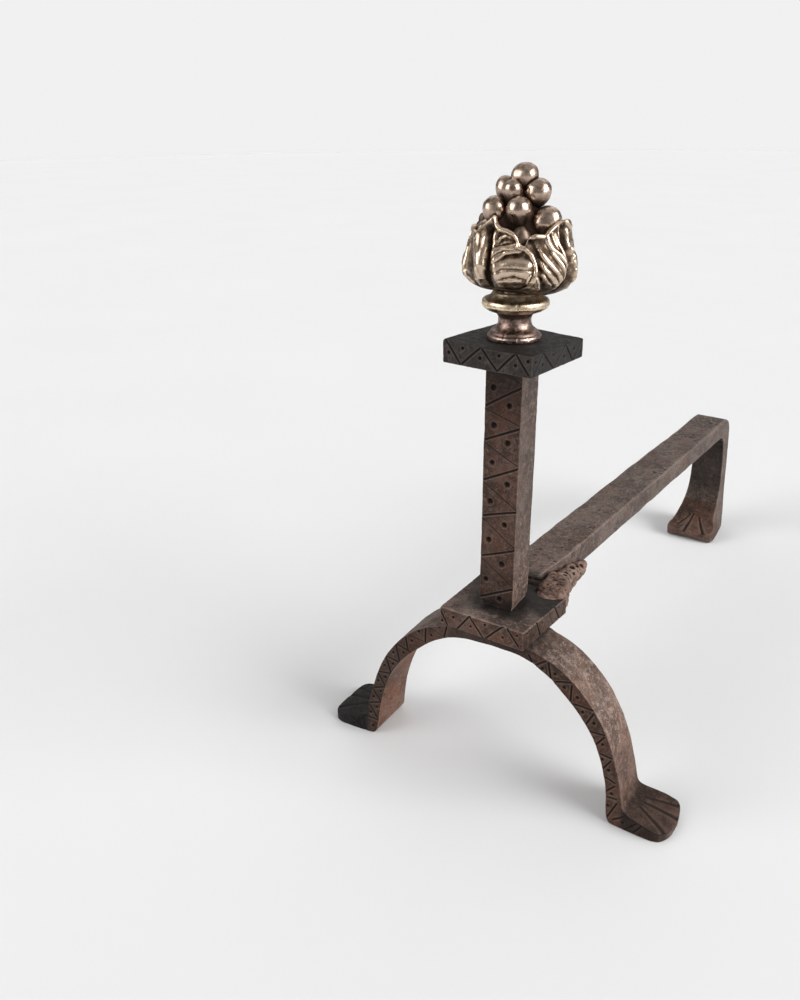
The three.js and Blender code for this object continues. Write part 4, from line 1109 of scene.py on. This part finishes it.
def berries():
    centres = []
    for l, d, z, r, tall, tail in BERRIES:
        c = np.append(LAT * l + TOWARD * d, z)
        centres.append((c, r))
    parts = []
    for n, ((c, r), (_, _, _, _, tall, tail)) in enumerate(zip(centres, BERRIES)):
        around, up = 84, 44
        th = np.arange(around) / around * 2 * math.pi
        el = (np.arange(up) + 0.5) / up * math.pi - math.pi / 2
        rings = np.stack([np.outer(np.cos(el), np.cos(th)), np.outer(np.cos(el), np.sin(th)), np.outer(np.sin(el), np.ones(around))], -1) * r
        skin = Skin(rings, caps=(0, 0))
        skin.tips = np.array([[0, 0, -r], [0, 0, r]], float)
        full = np.concatenate([skin.P.reshape(-1, 3), skin.tips])
        s = 1 + 0.060 * noise(full + 40 * n, 7.5, 320 + n)[:, None]
        s = s + 0.016 * noise(full + 40 * n, 2.6, 350 + n)[:, None]
        full = full * s
        full[:, 2] *= tall
        sink = np.clip(-full[:, 2] / r, 0, 1)
        full[:, 2] -= tail * sink ** 1.5
        full[:, :2] *= np.maximum(0.45, 1 - 0.10 * tail * sink ** 1.5)[:, None]
        # lean outwards, so that no two are alike
        lean = np.array([c[0], c[1]]) / max(np.hypot(c[0], c[1]), 1.0) * 0.10
        full[:, 0] += full[:, 2] * lean[0]
        full[:, 1] += full[:, 2] * lean[1]
        full = full + c
        quads, tris = skin.faces()
        dark = np.zeros(len(full))
        # painted shade where a berry comes near its neighbours
        for m, (c2, r2) in enumerate(centres):
            if m != n and np.linalg.norm(c - c2) < r + r2 + 3:
                gap = np.linalg.norm(full - c2, axis=1) - r2
                dark = np.maximum(dark, smooth(1.9, 0.15, gap))
        rad = np.hypot(full[:, 0] - LAT[0] * BUD_SHIFT, full[:, 1] - LAT[1] * BUD_SHIFT)
        # painted shade down behind the leaves and in towards the core
        ph = np.degrees(np.arctan2(full[:, :2] @ LAT - BUD_SHIFT, full[:, :2] @ TOWARD))
        dd = (ph - TIP + 51.5) % 90 - 51.5
        rim = np.interp(dd, *np.array(EDGE).T)
        wall = cup_radius(full[:, 2]) - 2.2 - rad
        dark = np.maximum(dark, smooth(1.5, -2.5, full[:, 2] - rim + 1.2) * smooth(5.0, 0.5, wall))
        core = np.clip((410 - full[:, 2]) * 0.42, 2, 22)
        dark = np.maximum(dark, smooth(3.2, 0.5, rad - core + 2.0))
        # painted shade on each berry's lower half
        under = (c[2] - full[:, 2]) / r
        dark = np.maximum(dark, 0.84 * smooth(-0.05, 0.80, under + 0.14 * noise(full, 3.0, 340 + n)))
        # painted shade on the tops as well, in tarnish-like blotches
        dark = np.maximum(dark, 0.55 * smooth(0.05, 0.55, fbm(full, 4.2, 3, 0.6, 360 + n)) * smooth(0.9, -0.4, under + 0.7))
        if n == 12:
            dark = np.maximum(dark, 0.6)
        parts.append(make_mesh("berry", full, quads, tris, {"dark": np.clip(dark, 0, 1), "line": dark * 0}, 6))
    # the core is all dark: painted shade in the gaps between the berries
    prof = [(0, 362), (17, 362), (20.5, 366), (20.0, 372), (16.6, 380), (11.8, 390), (7.0, 399), (3.0, 406), (0, 408)]
    skin = lathe("core", prof, 120, step=0.8)
    h = 0.5 * noise(skin.P, 5, 330)
    core = finish_skin("bud_core", skin, h, {"dark": np.ones(h.shape), "line": np.zeros(h.shape)}, 6)
    return join([core] + parts, "berry_cluster")


def pedestal():
    z = CAP_TOP + GAP
    prof = [(0, z), (16.2, z), (16.6, z + 0.6), (16.6, z + 2.0), (16.0, z + 3.2), (15.1, z + 3.8), (14.9, z + 4.5), (14.2, z + 5.3),
            (12.7, z + 6.3), (11.3, z + 7.7), (10.4, z + 9.4), (10.1, z + 11.4), (10.2, z + 13.2), (10.8, z + 14.8), (11.8, z + 16.0),
            (12.2, PED_TOP), (0, PED_TOP)]
    skin = lathe("pedestal", prof, 300, step=0.32)
    P = skin.P
    h = 0.10 * fbm(P, 9, 3, 0.5, 401) + 0.03 * noise(P * [0.3, 0.3, 1], 0.55, 402) - 0.22 * smooth(0.45, 0.8, noise(P, 2.3, 403))
    # painted shade at the top under the ring and a painted contact shadow at the foot on the cap
    dark = np.maximum(0.62 * smooth(z + 12.8, z + 15.6, P[..., 2]), 0.5 * smooth(z + 0.8, z + 0.1, P[..., 2]))
    dark = np.maximum(dark, 0.6 * np.exp(-((P[..., 2] - z - 4.6) / 0.55) ** 2))
    dark = np.maximum(dark, 0.45 * smooth(0.0, 0.6, fbm(P, 5, 3, 0.6, 404)))
    ob = finish_skin("pedestal_turned", skin, h * smooth(0.0, 6, np.hypot(P[..., 0], P[..., 1])), {"dark": dark, "line": h * 0}, 6)
    return ob


def ring_disc():
    z = PED_TOP + GAP
    # the top rises in a hollow sweep to the cup's neck and overlaps it
    prof = [(0, z), (13.0, z), (15.8, z + 0.3), (18.2, z + 1.5), (19.9, z + 2.9), (20.45, z + 4.1), (20.4, z + 5.6), (19.9, z + 6.8),
            (18.9, z + 7.5), (17.6, z + 7.8), (16.5, z + 8.3), (15.4, z + 9.2), (14.5, z + 10.3), (13.9, z + 11.4), (13.3, z + 11.8), (0, z + 11.8)]
    skin = lathe("ring", prof, 320, step=0.34)
    P = skin.P
    rad = np.hypot(P[..., 0], P[..., 1])
    h = 0.10 * fbm(P, 8, 3, 0.5, 411) + 0.03 * noise(P, 0.9, 412) - 0.20 * smooth(0.5, 0.85, noise(P, 2.0, 413))
    dark = 0.30 * smooth(18.8, 17.4, rad) * smooth(z + 5.0, z + 6.4, P[..., 2])
    # painted shade at the neck under the cup
    dark = np.maximum(dark, 0.4 * smooth(15.2, 13.8, rad))
    return finish_skin("ring_turned", skin, h * smooth(0.0, 6, rad), {"dark": dark, "line": h * 0}, 6)


# ---------------------------------------------------------------- materials
class Nodes:
    """Small helper that wires shader nodes by name."""

    def __init__(self, name):
        self.mat = bpy.data.materials.new(name)
        self.mat.use_nodes = True
        self.t = self.mat.node_tree
        self.t.nodes.clear()
        self.out = self.t.nodes.new("ShaderNodeOutputMaterial")
        self.bsdf = self.t.nodes.new("ShaderNodeBsdfPrincipled")
        self.t.links.new(self.bsdf.outputs[0], self.out.inputs[0])
        self.coord = self.t.nodes.new("ShaderNodeTexCoord").outputs["Object"]

    def link(self, value, socket):
        if isinstance(value, bpy.types.NodeSocket):
            self.t.links.new(value, socket)
        else:
            socket.default_value = value

    def noise(self, scale, detail=4.0, rough=0.55, distortion=0.0, stretch=None, offset=(0, 0, 0)):
        n = self.t.nodes.new("ShaderNodeTexNoise")
        n.inputs["Scale"].default_value = scale
        n.inputs["Detail"].default_value = detail
        n.inputs["Roughness"].default_value = rough
        n.inputs["Distortion"].default_value = distortion
        co = self.coord
        if stretch or any(offset):
            m = self.t.nodes.new("ShaderNodeMapping")
            m.inputs["Scale"].default_value = stretch or (1, 1, 1)
            m.inputs["Location"].default_value = offset
            self.t.links.new(co, m.inputs["Vector"])
            co = m.outputs[0]
        self.t.links.new(co, n.inputs["Vector"])
        return n.outputs[0]

    def attr(self, name):
        n = self.t.nodes.new("ShaderNodeAttribute")
        n.attribute_name = name
        return n.outputs["Fac"]

    def math(self, op, a, b=0.0, c=None, clamp=False):
        n = self.t.nodes.new("ShaderNodeMath")
        n.operation = op
        n.use_clamp = clamp
        self.link(a, n.inputs[0])
        self.link(b, n.inputs[1])
        if c is not None:
            self.link(c, n.inputs[2])
        return n.outputs[0]

    def map(self, value, lo, hi, to_lo=0.0, to_hi=1.0, soft=True):
        n = self.t.nodes.new("ShaderNodeMapRange")
        n.interpolation_type = "SMOOTHSTEP" if soft else "LINEAR"
        self.link(value, n.inputs["Value"])
        n.inputs["From Min"].default_value = lo
        n.inputs["From Max"].default_value = hi
        n.inputs["To Min"].default_value = to_lo
        n.inputs["To Max"].default_value = to_hi
        return n.outputs["Result"]

    def mix(self, f, a, b, mode="MIX"):
        n = self.t.nodes.new("ShaderNodeMix")
        n.data_type = "RGBA"
        n.blend_type = mode
        self.link(f, n.inputs[0])
        self.link((*a, 1) if isinstance(a, tuple) else a, n.inputs[6])
        self.link((*b, 1) if isinstance(b, tuple) else b, n.inputs[7])
        return n.outputs[2]

    def scale(self, colour, by):
        n = self.t.nodes.new("ShaderNodeVectorMath")
        n.operation = "SCALE"
        self.t.links.new(colour, n.inputs[0])
        self.t.links.new(by, n.inputs["Scale"])
        return n.outputs["Vector"]

    def bump(self, height, distance, strength=1.0, normal=None):
        n = self.t.nodes.new("ShaderNodeBump")
        n.inputs["Strength"].default_value = strength
        n.inputs["Distance"].default_value = distance
        self.link(height, n.inputs["Height"])
        if normal is not None:
            self.t.links.new(normal, n.inputs["Normal"])
        return n.outputs[0]


def iron(name, low, mid, high, rust_colour, rust_amount=0.5, gloss=0.0, grit=0.00035, metal=0.30, shine=0.22):
    m = Nodes(name)
    groove, edge, dark, rust, cav, cavw = (m.attr(k) for k in ("groove", "edge", "dark", "rust", "cav", "cavw"))
    big = m.noise(34, 5, 0.6)
    fine = m.noise(260, 5, 0.62)
    speck = m.noise(900, 3, 0.6)
    base = m.mix(m.map(big, 0.40, 0.60), low, mid)
    base = m.mix(m.map(fine, 0.45, 0.70, 0.0, 0.8), base, high)
    base = m.mix(m.map(m.noise(105, 5, 0.68, offset=(4, 9, 2)), 0.50, 0.64, 0, 0.6), base, tuple(c * 0.6 for c in low))
    base = m.mix(m.map(m.noise(150, 5, 0.66, offset=(7, 3, 8)), 0.54, 0.68, 0, 0.55), base, high)
    base = m.mix(m.map(m.noise(640, 4, 0.7, offset=(1, 6, 3)), 0.53, 0.65, 0, 0.75), base, tuple(c * 0.4 for c in low))
    base = m.mix(m.map(m.noise(760, 3, 0.65, offset=(9, 2, 7)), 0.57, 0.69, 0, 0.7), base, tuple(min(1, c * 1.35) for c in high))
    # rust: broad patches where the piece has them, and freckles all over
    patch = m.noise(70, 6, 0.66, offset=(3, 1, 2))
    freckle = m.noise(420, 4, 0.7, offset=(5, 2, 1))
    amount = m.math("MULTIPLY", m.math("ADD", m.map(rust, 0, 1, 0.22, 1.0, False), 0.0), m.map(patch, 0.44, 0.62))
    amount = m.math("MULTIPLY", m.math("MAXIMUM", amount, m.map(freckle, 0.60, 0.72, 0, 0.5)), rust_amount, clamp=True)
    base = m.mix(amount, base, rust_colour)
    # rubbed edges and high spots
    rub = m.math("MULTIPLY", m.map(edge, 0.35, 0.95), m.map(fine, 0.35, 0.62))
    rub = m.math("MAXIMUM", m.math("MULTIPLY", rub, 0.65), m.map(cav, -0.03, -0.14, 0, 0.3))
    base = m.mix(rub, base, tuple(min(1, c * 1.3 + 0.01) for c in high))
    # the chased faces keep an old wax brown; each face's brightness is scaled by its tone, which holds painted light
    # and shade by face as well as the piece's own tone
    base = m.mix(m.attr("warm"), base, (1.10, 0.84, 0.72), "MULTIPLY")
    base = m.scale(base, m.math("ADD", m.attr("tone_and_painted_light"), 1.0))
    # painted shade in what lies deep, in the cuts and hollows, and darker where the dark attribute says, which holds
    # stains and painted shade
    hollow = m.map(cav, 0.015, 0.16, 0, 0.85)
    wide = m.map(cavw, 0.05, 0.55, 0, 0.7)
    deep = m.math("MAXIMUM", m.math("MAXIMUM", hollow, wide), m.map(groove, 0.15, 0.9, 0, 0.96))
    base = m.mix(deep, base, (0.010, 0.0075, 0.006))
    stain_and_painted_shade = m.math("MULTIPLY", dark, m.map(m.noise(120, 4, 0.6, offset=(8, 8, 1)), 0.25, 0.6, 0.72, 1.0))
    base = m.mix(stain_and_painted_shade, base, (0.013, 0.011, 0.0105))
    m.link(base, m.bsdf.inputs["Base Color"])
    r = m.math("ADD", m.map(fine, 0.3, 0.7, 0.50 - gloss, 0.74 - gloss), m.math("MULTIPLY", amount, 0.16))
    r = m.math("SUBTRACT", r, m.math("MULTIPLY", rub, 0.14), clamp=True)
    r = m.math("MAXIMUM", r, m.math("MULTIPLY", deep, 0.8), clamp=True)
    m.link(r, m.bsdf.inputs["Roughness"])
    m.bsdf.inputs["Metallic"].default_value = metal
    m.bsdf.inputs["Specular IOR Level"].default_value = shine
    h = m.math("ADD", m.math("MULTIPLY", fine, 0.55), m.math("MULTIPLY", speck, 0.45))
    n = m.bump(h, grit, 0.85)
    m.link(n, m.bsdf.inputs["Normal"])
    return m.mat


def bronze(name, deep, mid, high, patina, rough=0.30, fine_scale=300, bumpy=0.5, spotty=0.55):
    m = Nodes(name)
    cav, cavw, dark = m.attr("cav"), m.attr("cavw"), m.attr("dark")
    big = m.noise(60, 5, 0.6)
    fine = m.noise(fine_scale, 5, 0.65)
    speck = m.noise(1400, 3, 0.6)
    base = m.mix(m.map(big, 0.35, 0.68), mid, patina)
    base = m.mix(m.map(fine, 0.42, 0.66, 0.0, 0.55), base, high)
    rub = m.math("MAXIMUM", m.map(cav, -0.01, -0.09), m.map(m.attr("line"), 0.35, 0.9))
    base = m.mix(m.math("MULTIPLY", rub, 0.85), base, high)
    # darker in the hollows, a patina, and where the dark attribute says, which is mostly painted shade
    hollow = m.math("MAXIMUM", m.map(cav, 0.015, 0.20, 0, 0.86), m.map(cavw, 0.12, 0.80, 0, 0.95))
    hollow = m.math("MAXIMUM", hollow, dark)
    spots = m.map(m.noise(520, 4, 0.7, offset=(2, 7, 4)), 0.60, 0.74, 0, spotty)
    hollow2 = m.math("MAXIMUM", hollow, spots)
    base = m.mix(hollow2, base, deep)
    m.link(base, m.bsdf.inputs["Base Color"])
    r = m.math("ADD", m.map(fine, 0.3, 0.7, rough - 0.05, rough + 0.13), m.math("MULTIPLY", hollow2, 0.34))
    r = m.math("SUBTRACT", r, m.math("MULTIPLY", rub, 0.06), clamp=True)
    m.link(r, m.bsdf.inputs["Roughness"])
    m.bsdf.inputs["Metallic"].default_value = 1.0
    h = m.math("ADD", m.math("MULTIPLY", fine, 0.7), m.math("MULTIPLY", speck, 0.3))
    m.link(m.bump(h, 0.00022, bumpy), m.bsdf.inputs["Normal"])
    return m.mat


IRON = iron("forged_iron", (0.048, 0.033, 0.0265), (0.106, 0.078, 0.066), (0.182, 0.145, 0.128), (0.150, 0.066, 0.038), 0.6)
DARK_IRON = iron("dark_iron", (0.017, 0.0150, 0.0145), (0.031, 0.028, 0.0275), (0.066, 0.060, 0.059), (0.045, 0.029, 0.023), 0.3, gloss=0.0, metal=0.15, shine=0.14)
WELD = iron("weld_iron", (0.042, 0.027, 0.021), (0.104, 0.074, 0.061), (0.190, 0.148, 0.128), (0.150, 0.074, 0.048), 0.5, grit=0.0009)
BRONZE = bronze("bronze", (0.016, 0.009, 0.006), (0.225, 0.160, 0.112), (0.70, 0.55, 0.42), (0.150, 0.098, 0.062), 0.28)
BERRY = bronze("berry_bronze", (0.018, 0.010, 0.0075), (0.190, 0.132, 0.100), (0.54, 0.415, 0.335), (0.115, 0.076, 0.054), 0.26, 240, 0.6)
RED_BRONZE = bronze("red_bronze", (0.022, 0.013, 0.010), (0.175, 0.118, 0.098), (0.46, 0.35, 0.305), (0.120, 0.074, 0.058), 0.30)
BRASS = bronze("brass", (0.030, 0.018, 0.010), (0.430, 0.320, 0.210), (0.84, 0.70, 0.52), (0.340, 0.240, 0.150), 0.31, spotty=0.25)
STEEL = iron("stud_steel", (0.10, 0.095, 0.09), (0.19, 0.18, 0.17), (0.30, 0.29, 0.28), (0.12, 0.07, 0.045), 0.3, gloss=0.15)


def put(ob, material, body, slot, *nodes):
    ob.data.materials.clear()
    ob.data.materials.append(material)
    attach(ob, body)
    if nodes:
        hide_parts(*nodes)
    return ob


# ---------------------------------------------------------------- build
put(front_legs(), IRON, "root", "forged_iron", "front_legs")
put(base_plate(), IRON, "root", "forged_iron", "base_plate")
put(post(), IRON, "root", "forged_iron", "post")
put(cap_plate(), DARK_IRON, "root", "dark_iron", "cap_plate")
put(log_bar(), IRON, "root", "forged_iron", "log_bar")
put(tongue(), WELD, "root", "forged_iron", "bar_tongue")

put(pedestal(), RED_BRONZE, "finial", "red_bronze", "finial_pedestal")
put(ring_disc(), BRASS, "finial", "brass", "finial_ring")
put(leaf_cup(), BRONZE, "finial", "bronze", "finial_bud")
put(berries(), BERRY, "finial", "bronze")

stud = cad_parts["finial_stud"]
stud.data.materials.clear()
stud.data.materials.append(STEEL)

# ---------------------------------------------------------------- stage
me = bpy.data.meshes.new("floor")
ring = [(9.0 * math.cos(a), 9.0 * math.sin(a), -0.0002) for a in np.arange(96) / 96 * 2 * math.pi]
me.from_pydata(ring, [], [list(range(96))])
floor = bpy.data.objects.new("floor", me)
bpy.context.scene.collection.objects.link(floor)
fm = Nodes("floor")
fm.link(fm.mix(fm.map(fm.noise(3, 3), 0.3, 0.7), (0.652, 0.658, 0.668), (0.662, 0.668, 0.678)), fm.bsdf.inputs["Base Color"])
fm.bsdf.inputs["Roughness"].default_value = 0.9
fm.bsdf.inputs["Specular IOR Level"].default_value = 0.0
me.materials.append(fm.mat)

# Two tall soft panels stand to the right and the left of the viewer, a weak one behind; the rest
# of the room is dim. They are drawn on the world, so they light the whole floor evenly.
AHEAD = np.array([-0.530, 0.848])
ACROSS = np.array([0.848, 0.530])
world = bpy.data.worlds.new("studio")
bpy.context.scene.world = world
world.use_nodes = True
wt = world.node_tree
wt.nodes.clear()


def wnode(kind, **values):
    n = wt.nodes.new(kind)
    for k, v in values.items():
        setattr(n, k, v)
    return n


def wmath(op, a, b=0.0, clamp=False):
    n = wnode("ShaderNodeMath", operation=op, use_clamp=clamp)
    for socket, v in zip(n.inputs, (a, b)):
        if isinstance(v, bpy.types.NodeSocket):
            wt.links.new(v, socket)
        else:
            socket.default_value = v
    return n.outputs[0]


def wramp(v, lo, hi):
    n = wnode("ShaderNodeMapRange", interpolation_type="SMOOTHSTEP")
    wt.links.new(v, n.inputs["Value"])
    n.inputs["From Min"].default_value = lo
    n.inputs["From Max"].default_value = hi
    return n.outputs["Result"]


def wdot(v, d):
    n = wnode("ShaderNodeVectorMath", operation="DOT_PRODUCT")
    wt.links.new(v, n.inputs[0])
    n.inputs[1].default_value = d
    return n.outputs["Value"]


direction = wnode("ShaderNodeTexCoord").outputs["Generated"]


def panel(azimuth, wide, low, high, strength, soft=0.10):
    """A panel `azimuth` degrees to the viewer's right of the viewer, `wide` degrees wide."""
    a = math.radians(azimuth)
    c = -AHEAD * math.cos(a) + ACROSS * math.sin(a)
    t = np.array([-c[1], c[0]])
    half = math.sin(math.radians(wide / 2))
    face = wramp(wdot(direction, (c[0], c[1], 0)), 0.0, 0.3)
    across = wmath("ABSOLUTE", wdot(direction, (t[0], t[1], 0)))
    inside = wramp(across, half + soft, half - soft)
    z = wdot(direction, (0, 0, 1))
    lo, hi = math.sin(math.radians(low)), math.sin(math.radians(high))
    tall = wmath("MULTIPLY", wramp(z, lo - soft / 2, lo + soft), wramp(z, hi + soft, hi - soft / 2))
    return wmath("MULTIPLY", wmath("MULTIPLY", wmath("MULTIPLY", face, inside), tall), strength)


glow = wmath("ADD", panel(62, 44, 2, 40, 7.6), panel(-76, 40, 2, 38, 5.0))
glow = wmath("ADD", glow, panel(172, 60, 18, 60, 0.95))
z = wdot(direction, (0, 0, 1))
glow = wmath("ADD", glow, wmath("MULTIPLY", wramp(z, 0.75, 1.0), 0.25))
glow = wmath("ADD", glow, 0.26)
light = wnode("ShaderNodeBackground")
light.inputs[0].default_value = (1.0, 0.99, 0.975, 1)
wt.links.new(glow, light.inputs[1])
back = wnode("ShaderNodeBackground")
back.inputs[0].default_value = (0.877, 0.877, 0.876, 1)
mixer = wnode("ShaderNodeMixShader")
wt.links.new(wnode("ShaderNodeLightPath").outputs["Is Camera Ray"], mixer.inputs[0])
wt.links.new(light.outputs[0], mixer.inputs[1])
wt.links.new(back.outputs[0], mixer.inputs[2])
wt.links.new(mixer.outputs[0], wnode("ShaderNodeOutputWorld").inputs[0])


def sun(name, azimuth, height, strength, angle):
    a, h = math.radians(azimuth), math.radians(height)
    c = -AHEAD * math.cos(a) + ACROSS * math.sin(a)
    data = bpy.data.lights.new(name, "SUN")
    data.energy = strength
    data.angle = math.radians(angle)
    ob = bpy.data.objects.new(name, data)
    bpy.context.scene.collection.objects.link(ob)
    d = Vector((c[0] * math.cos(h), c[1] * math.cos(h), math.sin(h)))
    ob.rotation_euler = d.to_track_quat("Z", "Y").to_euler()
    return ob


sun("key", 60, 30, 0.7, 24)

# ---------------------------------------------------------------- camera
CAM = metres([228.4, -499.5, 444.7])
FWD = np.array([-0.484957, 0.776046, -0.403198])
FWD /= np.linalg.norm(FWD)
side = np.array([0.848048, 0.529919, 0.0])
down = np.cross(FWD, side)
down = down if down[2] < 0 else -down
roll = math.radians(0.66)
right = side * math.cos(roll) + down * math.sin(roll)
below = -side * math.sin(roll) + down * math.cos(roll)
cam_data = bpy.data.cameras.new("camera")
cam_data.sensor_fit = "AUTO"
cam_data.sensor_width = 36.0
cam_data.lens = 36.0 * 900.63 / 1000.0
cam_data.clip_start = 0.01
cam_data.clip_end = 60
cam = bpy.data.objects.new("camera", cam_data)
bpy.context.scene.collection.objects.link(cam)
cam.matrix_world = Matrix([[right[0], -below[0], -FWD[0], CAM[0]], [right[1], -below[1], -FWD[1], CAM[1]],
                           [right[2], -below[2], -FWD[2], CAM[2]], [0, 0, 0, 1]])
bpy.context.scene.camera = cam

bpy.context.scene.view_settings.view_transform = "Standard"
bpy.context.view_layer.update()
